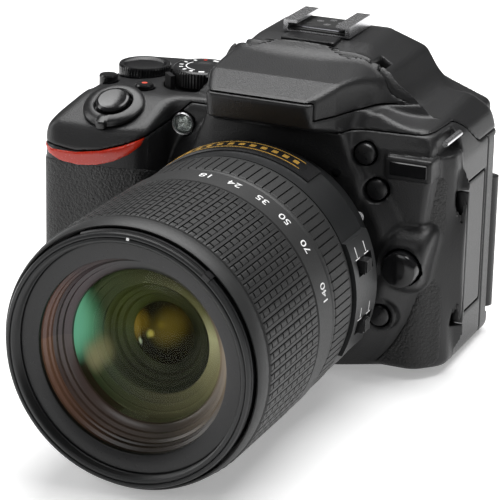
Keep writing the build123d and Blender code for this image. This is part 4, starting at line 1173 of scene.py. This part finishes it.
def flash_room(x, y, z, grow):
    """Room of the flash head, in front of a nose that is round about its hinge."""
    hinge = np.sqrt((y - NOSE_HINGE[0]) ** 2 + (z - NOSE_HINGE[1]) ** 2)
    reach = NOSE_REACH - np.clip(np.abs(x) - 16.0, 0, 30) * 0.22
    outside_nose = (reach + 0.3 - grow) - hinge
    room = np.maximum(y - NOSE_HINGE[0], 80.2 - grow - z)
    room = np.maximum(room, outside_nose)
    lip = np.maximum(y - (-39.1 - grow), z - (85.6 - grow))
    return np.maximum(room, -lip)


ARM_PLACES = (-19.8, 23.8)


def arm_room(x, y, z, half, low_deg, high_deg, disc):
    """Sector swept by the two hinge arms of the flash head."""
    hinge = np.sqrt((y - NOSE_HINGE[0]) ** 2 + (z - NOSE_HINGE[1]) ** 2)
    angle = np.degrees(np.arctan2(z - NOSE_HINGE[1], -(y - NOSE_HINGE[0])))
    middle = (low_deg + high_deg) / 2
    spread = (np.abs(angle - middle) - (high_deg - low_deg) / 2) * hinge * DEGREE_ARC
    sector = np.maximum(spread, hinge - 16.0)
    shape = np.minimum(sector, hinge - disc)
    across = np.minimum(np.abs(x - ARM_PLACES[0]), np.abs(x - ARM_PLACES[1])) - half
    return np.maximum(shape, across)


def cut_form(x, y, z):
    """Everything taken away from the shell, as one distance."""
    around = np.sqrt(x ** 2 + (z - LENS_Z) ** 2)
    cuts = [rod_distance(around, y, 31.2, -60, -18), rod_distance(around, y, 25, -60, -4)]
    across, height = release_frame(x, y, z)
    cuts.append(rod_distance(across, height, 10.1, 0.3, 20))
    cuts.append(rod_distance(across, height, 5.4, -6, 20))
    for px, py, radius, low in ((-34.3, -3.3, 12.0, 73.4), (-57, 3, 8.6, 72.8),
                                (-48.6, -14.8, 3.25, 66.5), (-63, -10.5, 3.25, 66.5)):
        cuts.append(rod_distance(np.sqrt((x - px) ** 2 + (y - py) ** 2), z, radius, low, 99))
    for px, pz, radius, deep in ((28, 68, 3.6, -17), (32, 57.5, 3.6, -17),
                                 (35, 19.4, 3.6, -17), (42, 36, 5.8, -17),
                                 (-32, 68, 3.7, -14)):
        cuts.append(rod_distance(np.sqrt((x - px) ** 2 + (z - pz) ** 2), y, radius, -60, deep))
    for px, pz in ((40, 70.5), (-35.5, 70.5), (-38.5, 58), (-54, 54), (-36.5, 16),
                   (-47.5, 11), (-60, 13)):
        cuts.append(rod_distance(np.sqrt((x - px) ** 2 + (z - pz) ** 2), y, 3.65, 19, 60))
    cuts.append(rod_distance(np.sqrt((x + 49.5) ** 2 + (z - 36) ** 2), y, 10.9, 19, 60))
    cuts.append(box_distance(x, y, z, (-29.4, 22.1, 6.1), (60, 40, 63.9)))
    cuts.append(box_distance(x, y, z, (-11, 14, 74), (11, 40, 88)))
    cuts.append(box_distance(x, y, z, (-66.8, -34.8, -5), (-45.2, 5, 56)))
    cuts.append(box_distance(x, y, z, (-80, -12.9, 19.6), (-67.3, 9.9, 56.4)))
    cuts.append(box_distance(x, y, z, (44, -9.9, 13.6), (60, 14.4, 55.9)))
    for px, py, low, high in ((-70.5, -11.6, 19.6, 56.4), (52.1, -10.1, 13.6, 55.9)):
        hinge = np.sqrt((x - px) ** 2 + (y - py) ** 2)
        cuts.append(rod_distance(hinge, z, 2.0, low, high))
    cuts.append(box_distance(x, y, z, (47.6, -18.5, 67.5), (60, -6.5, 90)))
    cuts.append(box_distance(x, y, z, (-80, -18.5, 67.0), (-64.5, -6.5, 90)))
    total = cuts[0]
    for cut in cuts[1:]:
        total = np.minimum(total, cut)
    return total


def shell_form(x, y, z):
    """The outer form with every opening taken out of it."""
    return smooth_max(outer_form(x, y, z), -cut_form(x, y, z), 0.5)


print("shutter tilt in degrees:", round(math.degrees(RELEASE_TILT)))

# %% [markdown]
# The shell comes apart into a top cover, a front cover and a rear cover, and the flash
# head closes over the top. Each is the shell on its own side of a seam, with a narrow
# gap left between neighbours so that the seam reads as a fine dark line.

# %% Covers
SEAM_EDGE = 0.5
REAR_SEAM = 16.0
SEAM_X = (-80, -71.8, -60, -52, -45, -38.8, -36, -30, 60)
SEAM_Z = (61.2, 61.2, 59.9, 61.2, 63.4, 66.2, 69.0, 74.6, 74.6)
CELL = 0.62


def seam_height(x, y):
    """Height of the seam under the top cover: it follows the accent and the neck."""
    front = np.interp(x, SEAM_X, SEAM_Z)
    share = np.clip((y + 4) / 14, 0, 1)
    share = share * share * (3 - 2 * share)
    return front + (66.0 - front) * share


def top_form(x, y, z):
    """Top cover: above the seam, less the flash head and its arms."""
    form = smooth_max(shell_form(x, y, z), seam_height(x, y) + 0.1 - z, SEAM_EDGE)
    form = smooth_max(form, -arm_room(x, y, z, 1.6, -16, 97, 3.4), 0.4)
    return smooth_max(form, -flash_room(x, y, z, 0.35), 0.4)


def front_form(x, y, z):
    """Front cover: below the seam, forward of the rear seam."""
    form = smooth_max(shell_form(x, y, z), z - seam_height(x, y) + 0.1, SEAM_EDGE)
    return smooth_max(form, y - REAR_SEAM + 0.1, SEAM_EDGE)


def rear_form(x, y, z):
    """Rear cover: below the seam, behind the rear seam."""
    form = smooth_max(shell_form(x, y, z), z - seam_height(x, y) + 0.1, SEAM_EDGE)
    return smooth_max(form, REAR_SEAM + 0.1 - y, SEAM_EDGE)


def flash_form(x, y, z):
    """Flash head with its two arms, cut back beside the mode dial."""
    room = np.minimum(flash_room(x, y, z, 0.0), arm_room(x, y, z, 1.2, -8, 48, 3.0))
    form = smooth_max(outer_form(x, y, z), room, 0.5)
    around = np.sqrt((x + 34.3) ** 2 + (y + 3.3) ** 2)
    return smooth_max(form, -rod_distance(around, z, 10.1, 73, 81.9), 0.4)


skin("top_skin", top_form, (-76, -44, 58), (55, 31, 96), CELL * 0.8, shell_plastic, "body",
     ("top_cover",))
skin("front_skin", front_form, (-76, -43, -1), (55, 17.5, 76), CELL, shell_plastic, "body",
     ("front_cover",))
skin("rear_skin", rear_form, (-73, 15, -1), (55, 31, 67), CELL, shell_plastic, "body",
     ("rear_cover",))
skin("flash_skin", flash_form, (-33, -44, 77.5), (36, 4.5, 95), CELL * 0.7, shell_plastic,
     "flash_head", ("flash_head",))

# %% [markdown]
# The leatherette and the red accent lie on the shell like inlays. Each is the outer form
# pushed out by a fraction of a millimetre and trimmed to its own outline.

# %% Leatherette and accent
GRIP_LEATHER = rounded([(-80, 3.5), (-37.2, 3.5), (-37.2, 56.5), (-80, 56.5)], [0, 3, 3, 0])
STRIP_LEATHER = rounded([
    (8, 2.0), (50.5, 2.0), (50.5, 62.0), (47.0, 62.0), (44.0, 55.0), (44.5, 44.0),
    (40.0, 27.0), (30.0, 8.0),
], [0, 3, 3, 2, 6, 6, 6, 6])
ACCENT = np.array([
    (-71.8, 60.8), (-68, 59.6), (-60, 59.6), (-52, 61.0), (-45, 63.2), (-38.8, 66.0),
    (-39.6, 63.6), (-43, 60.6), (-47.5, 58.2), (-53, 56.4), (-59, 55.6), (-65, 56.2),
    (-69.5, 58.0),
])


def grip_leather_form(x, y, z):
    """Leatherette on the grip."""
    region = outline_distance(GRIP_LEATHER, x, z)
    region = np.maximum(region, y + 14)
    form = smooth_max(outer_form(x, y, z) - 0.25, region, 0.5)
    return np.maximum(form, -(outer_form(x, y, z) + 2.0))


def strip_leather_form(x, y, z):
    """Leatherette strip on the other side of the lens."""
    around = np.sqrt(x ** 2 + (z - LENS_Z) ** 2)
    region = np.maximum(outline_distance(STRIP_LEATHER, x, z), 45.0 - around)
    region = np.maximum(region, y + 9)
    form = smooth_max(block_form(x, y, z) - 0.3, region, 0.5)
    return np.maximum(form, -(block_form(x, y, z) + 2.0))


def accent_form(x, y, z):
    """Red strip under the shutter button."""
    region = np.maximum(outline_distance(ACCENT, x, z), y + 17)
    form = smooth_max(outer_form(x, y, z) - 0.3, region, 0.4)
    return np.maximum(form, -(outer_form(x, y, z) + 2.0))


skin("grip_leather", grip_leather_form, (-76, -43, 2), (-34, -12, 58), CELL, leatherette,
     "body", ("leather_panels",))
skin("strip_leather", strip_leather_form, (7, -26, 1), (55, -7, 63), CELL, leatherette,
     "body")
skin("accent_skin", accent_form, (-76, -43, 54), (-36, -15, 67.5), CELL * 0.7, accent_red,
     "body", ("grip_accent",))

# %% [markdown]
# The card door and the port cover sit flush in the sides. Their outer faces are the same
# outer form, trimmed to each door's own block, so they carry the curve of the shell.

# %% Doors that follow the curve of the sides
def card_door_form(x, y, z):
    """Door of the card slot, in the side of the grip."""
    room = box_distance(x, y, z, (-71.8, -12.5, 20.0), (-69.8, 9.5, 56.0), 0.4)
    return smooth_max(outer_form(x, y, z), room, 0.4)


skin("card_door_skin", card_door_form, (-76, -14, 19), (-69, 11, 57.5), CELL, shell_plastic,
     "card_door", ("card_door",))


def port_door_form(x, y, z):
    """Cover of the sockets, in the other side."""
    room = box_distance(x, y, z, (51.4, -9.5, 14.0), (60, 14.0, 55.5), 0.6)
    return smooth_max(outer_form(x, y, z), room, 0.4)


skin("port_door_skin", port_door_form, (50.5, -11, 13), (55, 15.5, 57), CELL,
     shell_plastic, "port_cover", ("port_cover",))

# %% [markdown]
# Small pieces finish the camera: the ring and lever of the power switch, the domed shutter
# button, the lamp behind its clear cap, the knurled mode dial with plain marks, the contact
# plate in the accessory shoe, and the painted marks. No lettering is drawn.

# %% Power switch and shutter button
def tilted_points(radius, height, angle):
    """Points about the tilted shutter axis."""
    up_y = -math.sin(RELEASE_TILT)
    up_z = math.cos(RELEASE_TILT)
    side = radius * np.cos(angle)
    front = radius * np.sin(angle)
    return np.stack((
        RELEASE_PLACE[0] + side,
        RELEASE_PLACE[1] - front * up_z + height * up_y,
        RELEASE_PLACE[2] + front * up_y + height * up_z,
    ), axis=-1)


def tilted_lathe(name, profile, material, body, segments=96, relief=None,
                 replaces=()):
    """Piece turned about the tilted shutter axis. `relief` may move its points."""
    radius, height, angles = turned(profile, even_angles(segments))
    if relief is not None:
        radius, height = relief(radius, height, angles)
    points = tilted_points(radius, height, angles).reshape(-1, 3)
    faces = grid_faces(len(profile), segments, True, True)
    return add_piece(name, points, faces, material, body, 30, replaces)


def lever_relief(radius, height, angle):
    """Front of the ring pulled out and up into a small lever."""
    away = np.abs((angle - math.pi / 2 + math.pi) % TAU - math.pi)
    pull = np.clip(1 - (away / 0.20) ** 4, 0, 1)
    outer = np.clip((radius - 6.5) / 3.0, 0, 1)
    return radius + 1.3 * pull * outer, height + 1.1 * pull * outer * (height > 0.3)


tilted_lathe("power_ring", [(5.9, 0.0), (9.2, 0.0), (9.5, 0.3), (9.4, 1.0), (9.0, 1.5),
                            (8.0, 1.9), (7.0, 2.1), (6.3, 2.1), (5.9, 1.8)],
             satin_plastic, "power_switch", relief=lever_relief,
             replaces=("power_switch",))
tilted_lathe("release_cap", [(0.02, 0.9), (5.0, 0.9), (5.2, 1.3), (5.2, 2.6), (4.9, 3.0),
                             (4.3, 3.25), (3.4, 3.1), (2.2, 2.95), (1.0, 2.9), (0.02, 2.88)],
             gloss_plastic, "shutter_button",
             replaces=("shutter_button",))
print("shutter button centre:", RELEASE_PLACE.tolist())

# %% [markdown]
# Dials turn about an upright axis, and the lamp and the front buttons about an axis that
# points forward. A thin flat arc serves for every painted mark, contact and painted shade of a
# hole.

# %% Pieces turned about an upright axis
def upright_lathe(name, centre, profile, material, body, segments=96, relief=None,
                  replaces=()):
    """Piece turned about an upright axis. Profile is (radius, height)."""
    radius, height, angles = turned(profile, even_angles(segments))
    if relief is not None:
        radius = radius + relief(angles, height, radius)
    points = np.stack((
        centre[0] + radius * np.cos(angles),
        centre[1] + radius * np.sin(angles),
        height,
    ), axis=-1).reshape(-1, 3)
    faces = grid_faces(len(profile), segments, True, True)
    return add_piece(name, points, faces, material, body, 30, replaces)


def front_lathe(name, centre, profile, material, body, segments=64, replaces=()):
    """Piece turned about an axis that points forward. Profile is (radius, y)."""
    radius, place, angles = turned(profile, even_angles(segments))
    points = np.stack((
        centre[0] + radius * np.cos(angles),
        place,
        centre[1] + radius * np.sin(angles),
    ), axis=-1).reshape(-1, 3)
    faces = grid_faces(len(profile), segments, True, True)
    return add_piece(name, points, faces, material, body, 30, replaces)


def arc_mark(name, centre, radii, start, stop, height, material, body, steps=16):
    """Thin flat arc or tick painted on an upright dial."""
    angle = np.radians(np.linspace(start, stop, steps))
    rows = []
    for radius, level in ((radii[0], height - 0.05), (radii[1], height - 0.05),
                          (radii[1], height + 0.03), (radii[0], height + 0.03)):
        rows.append(np.stack((
            centre[0] + radius * np.cos(angle),
            centre[1] + radius * np.sin(angle),
            np.full(steps, level),
        ), axis=-1))
    points = np.concatenate(rows)
    faces = grid_faces(4, steps, True, False)
    faces.append((0, steps, 2 * steps, 3 * steps))
    faces.append((steps - 1, 2 * steps - 1, 3 * steps - 1, 4 * steps - 1))
    return add_piece(name, points, faces, material, body)


print("helpers ready: upright_lathe, front_lathe, arc_mark")

# %% [markdown]
# The two dials have fine upright grooves for the thumb. On a real dial they are moulded in,
# so here they are cut into the turned form and not left to a bump. The mode dial carries
# plain blocks of different width in place of symbols.

# %% Mode dial, command dial and top buttons
MODE_DIAL = (-34.3, -3.3)
COMMAND_DIAL = (-57.0, 3.0)


def knurl(count, depth, low, high):
    """Relief of fine upright grooves between two heights."""
    def relief(angle, height, radius):
        wave = np.cos(angle * count)
        inside = (height > low) & (height < high) & (radius > 6)
        return np.where(inside, -depth * (wave < -0.2), 0.0)
    return relief


MODE_TOP = 80.95
RED_MARK = 3
MODE_MARKS = [(15, 14), (45, 10), (78, 16), (108, 9), (135, 7), (165, 6), (190, 6),
              (213, 6), (238, 7), (262, 9), (290, 15), (322, 15), (350, 8)]
upright_lathe("mode_dial_skin", MODE_DIAL, [
    (0.02, 75.6), (8.8, 75.6), (9.2, 75.9), (9.4, 76.2), (9.4, 80.2), (9.1, 80.7),
    (8.6, 81.0), (8.2, 81.1), (8.0, MODE_TOP), (4.0, MODE_TOP), (3.7, 80.8), (0.02, 80.75),
], satin_plastic, "mode_dial", 240, knurl(60, 0.45, 76.1, 80.4),
    ("mode_dial",))
arc_mark("mode_arc", MODE_DIAL, (5.0, 5.35), 150, 265, MODE_TOP, paint_white, "mode_dial",
         24)
for index, (angle, width) in enumerate(MODE_MARKS):
    arc_mark("mode_mark_%d" % index, MODE_DIAL, (6.2, 7.4), angle - width / 2,
             angle + width / 2, MODE_TOP, accent_red if index == RED_MARK else paint_white,
             "mode_dial", 5)
upright_lathe("command_dial_skin", COMMAND_DIAL, [
    (0.02, 73.6), (7.8, 73.6), (8.2, 74.0), (8.2, 77.0), (7.9, 77.5), (7.4, 77.6),
    (6.8, 77.4), (6.2, 76.9), (5.0, 76.7), (2.0, 76.55), (0.02, 76.5),
], gloss_plastic, "command_dial", 216, knurl(54, 0.35, 74.1, 77.1),
    ("command_dial",))
TOP_BUTTONS = [("movie", (-48.6, -14.8)), ("exposure", (-63.0, -10.5))]
for name, centre in TOP_BUTTONS:
    upright_lathe(name + "_cap", centre, [
        (0.02, 72.6), (2.8, 72.6), (2.9, 73.0), (2.9, 76.0), (2.6, 76.45), (2.0, 76.6),
        (0.02, 76.62),
    ], gloss_plastic, name + "_button", 48,
        replaces=(name + "_button",))
arc_mark("record_dot", TOP_BUTTONS[0][1], (0.02, 0.9), 0, 360, 76.63, record_red,
         "movie_button", 24)
print("marks on the mode dial:", len(MODE_MARKS))

# %% [markdown]
# The focus lamp shines through a clear cap in a bright cup. The cup is a turned metal dish
# and the cap a thin dome of coated glass in front of it.

# %% Lamp in its bright cup
front_lathe("lamp_cup", (-32.0, 68.0), [
    (3.55, -15.0), (3.55, -22.9), (3.3, -23.2), (3.0, -23.0), (2.9, -22.4), (2.6, -21.0),
    (1.6, -19.6), (0.02, -19.2), (0.02, -15.0),
], bright_metal, "body", 64, replaces=("af_assist_lamp",))
front_lathe("lamp_cap", (-32.0, 68.0), [
    (2.85, -21.8), (2.85, -22.3), (2.4, -22.9), (1.4, -23.4), (0.02, -23.5), (0.02, -22.2),
    (1.6, -21.9),
], clear_coating, "body", 24)
print("lamp cup radius in mm:", 3.55)

# %% [markdown]
# The front buttons are low turned caps that stand a little out of their wells. The lens
# release is larger and domed, because a thumb has to find it unseen.

# %% Buttons on the front and the lens release
for name, centre, front_face in (("flash_button", (28.0, 68.0), -26.4),
                                 ("function_button", (32.0, 57.5), -26.2),
                                 ("drive_mode_button", (35.0, 19.4), -28.7)):
    front_lathe(name + "_cap", centre, [
        (0.02, front_face + 4.0), (3.1, front_face + 4.0), (3.2, front_face + 0.9),
        (2.9, front_face + 0.35), (2.2, front_face + 0.1), (0.02, front_face),
    ], satin_plastic, name, 48, replaces=(name,))
front_lathe("release_button_cap", (42.0, 36.0), [
    (0.02, -24.0), (5.2, -24.0), (5.4, -31.0), (5.1, -31.9), (4.3, -32.4), (2.0, -32.6),
    (0.02, -32.65),
], gloss_plastic, "lens_release_button", 64,
    replaces=("lens_release_button",))
print("front buttons:", 3, "and the lens release")

# %% [markdown]
# Plates, ribs and the badge are blocks, but no moulded or pressed block has knife edges.
# `eased_box` cuts a small slope on every edge, which catches light as a real edge does.

# %% Blocks with eased edges
def eased_box(name, low, high, edge, material, body, replaces=()):
    """Box whose edges are cut by small slopes."""
    low = np.array(low, dtype=float)
    high = np.array(high, dtype=float)
    rows = []
    for level, inset in ((low[2], edge), (low[2] + edge, 0), (high[2] - edge, 0),
                         (high[2], edge)):
        x0, y0 = low[0] + inset, low[1] + inset
        x1, y1 = high[0] - inset, high[1] - inset
        rows += [(x0 + edge, y0, level), (x1 - edge, y0, level), (x1, y0 + edge, level),
                 (x1, y1 - edge, level), (x1 - edge, y1, level), (x0 + edge, y1, level),
                 (x0, y1 - edge, level), (x0, y0 + edge, level)]
    faces = grid_faces(4, 8, False, True)
    faces.append(tuple(range(8)))
    faces.append(tuple(range(24, 32)))
    return add_piece(name, rows, faces, material, body, 30, replaces)


eased_box("shoe_plate", (-9.1, 4.4, 94.12), (9.1, 20.6, 94.7), 0.2, inner_black, "body")
eased_box("shoe_spring", (-7.8, 5.2, 94.6), (7.8, 8.0, 95.1), 0.2, dark_metal, "body")
for index, (x, y) in enumerate(((0, 12.0), (-3.4, 15.2), (3.4, 15.2), (0, 17.6))):
    arc_mark("shoe_contact_%d" % index, (x, y), (0.02, 1.1), 0, 360, 94.72, bright_metal,
             "body", 20)
eased_box("badge_inset", (36.0, -26.45, 63.0), (47.6, -25.4, 67.2), 0.25, gloss_plastic,
          "body")
print("helper ready: eased_box, used for the shoe plate, its spring and the badge")

# %% [markdown]
# Each shoulder has a pocket with a round metal bar across it, which a strap loops over. A
# plain rod along the pocket is enough, since only the bar shows.

# %% Strap bars in the shoulder pockets
BAR_RADIUS = 0.95
BAR_SIDES = 24
BAR_ROWS = 14


def strap_bar(name, x, z):
    """Round bar along a shoulder pocket."""
    angle = even_angles(BAR_SIDES)
    rows = []
    for y in np.linspace(-19.0, -6.0, BAR_ROWS):
        rows.append(np.stack((x + BAR_RADIUS * np.cos(angle), np.full(BAR_SIDES, y),
                              z + BAR_RADIUS * np.sin(angle)), axis=-1))
    faces = grid_faces(BAR_ROWS, BAR_SIDES, False, True)
    faces.append(tuple(range(BAR_SIDES)))
    faces.append(tuple(range((BAR_ROWS - 1) * BAR_SIDES, BAR_ROWS * BAR_SIDES)))
    return add_piece(name, np.concatenate(rows), faces, bright_metal, "body",
                     30, ("strap_eyelets",) if x > 0 else ())


strap_bar("strap_bar_right", 50.2, 72.3)
strap_bar("strap_bar_left", -66.6, 70.2)
print("strap bar diameter in mm:", 2 * BAR_RADIUS)

# %% [markdown]
# On the fixed part of the lens there is a raised plate on top with two plain gold lines and
# a row of gold ticks between them, and white ticks and bars beside the two switches, whose
# tops are ribbed for grip. A white dot marks where the lens goes on.

# %% Marks on the lens and the mount
ring_block("lens_plate", 57.0, 138.0, (11.5, 21.5), (36.8, 38.5), satin_plastic, "body",
           edge=0.4, steps=60)
for index, forward in enumerate((13.6, 18.8)):
    ring_block("plate_line_%d" % index, 64.0, 134.0, (forward, forward + 0.35),
               (38.3, 38.56), paint_gold, "body", edge=0.02, steps=60)
for index in range(13):
    start = 66.0 + index * 5.2
    ring_block("plate_tick_%d" % index, start, start + 2.6, (15.3, 17.2), (38.3, 38.55),
               paint_gold, "body", edge=0.02, steps=6)
SWITCH_MARKS = [(20.5, 21.3, 22.5), (20.5, 21.3, 16.0), (-6.4, -5.6, 22.5),
                (-6.4, -5.6, 16.0)]
for index, (start, stop, forward) in enumerate(SWITCH_MARKS):
    ring_block("switch_tick_%d" % index, start - 2.6, stop + 1.2, (forward, forward + 0.35),
               (38.9, 39.06), paint_white, "body", edge=0.02, steps=6)
    ring_block("switch_bar_%d" % index, start - 3.4, start - 3.0,
               (forward - 1.3, forward + 1.8), (38.9, 39.06), paint_white, "body",
               edge=0.02, steps=4)
front_lathe("mount_dot", (27.6, 49.3), [(0.02, -27.6), (1.7, -27.6), (1.7, -28.35),
                                        (1.2, -28.5), (0.02, -28.55)],
            paint_white, "body", 32)
for name, height in (("focus_switch", 9.0), ("stabiliser_switch", -9.0)):
    for index in range(4):
        y = -51.4 + index * 0.95
        eased_box("%s_rib_%d" % (name, index), (39.0, y, LENS_Z + height - 1.8),
                  (39.85, y + 0.5, LENS_Z + height + 1.8), 0.12, satin_plastic, name)
print("painted marks by the switches:", 2 * len(SWITCH_MARKS))

# %% [markdown]
# In front of the shoe a small plate covers the microphones, with a few holes in it. Dark discs
# just above the plate are painted shade, which reads as the holes at this size.

# %% Microphone plate on the hump
eased_box("mic_plate", (-8.5, -4.2, 92.6), (8.5, 2.6, 93.95), 0.3, satin_plastic, "body")
# Places of the dark discs of painted shade that stand for the microphone holes.
MIC_HOLE_SHADES = [(-6.0, -2.4), (-4.6, -3.0), (4.6, -3.0), (6.0, -2.4), (0.0, -3.2),
             (1.5, -3.2), (-1.5, -3.2)]
for index, (x, y) in enumerate(MIC_HOLE_SHADES):
    arc_mark("mic_hole_shade_%d" % index, (x, y), (0.02, 0.38), 0, 360, 93.95, inner_black,
             "body", 12)
print("microphone holes:", len(MIC_HOLE_SHADES))
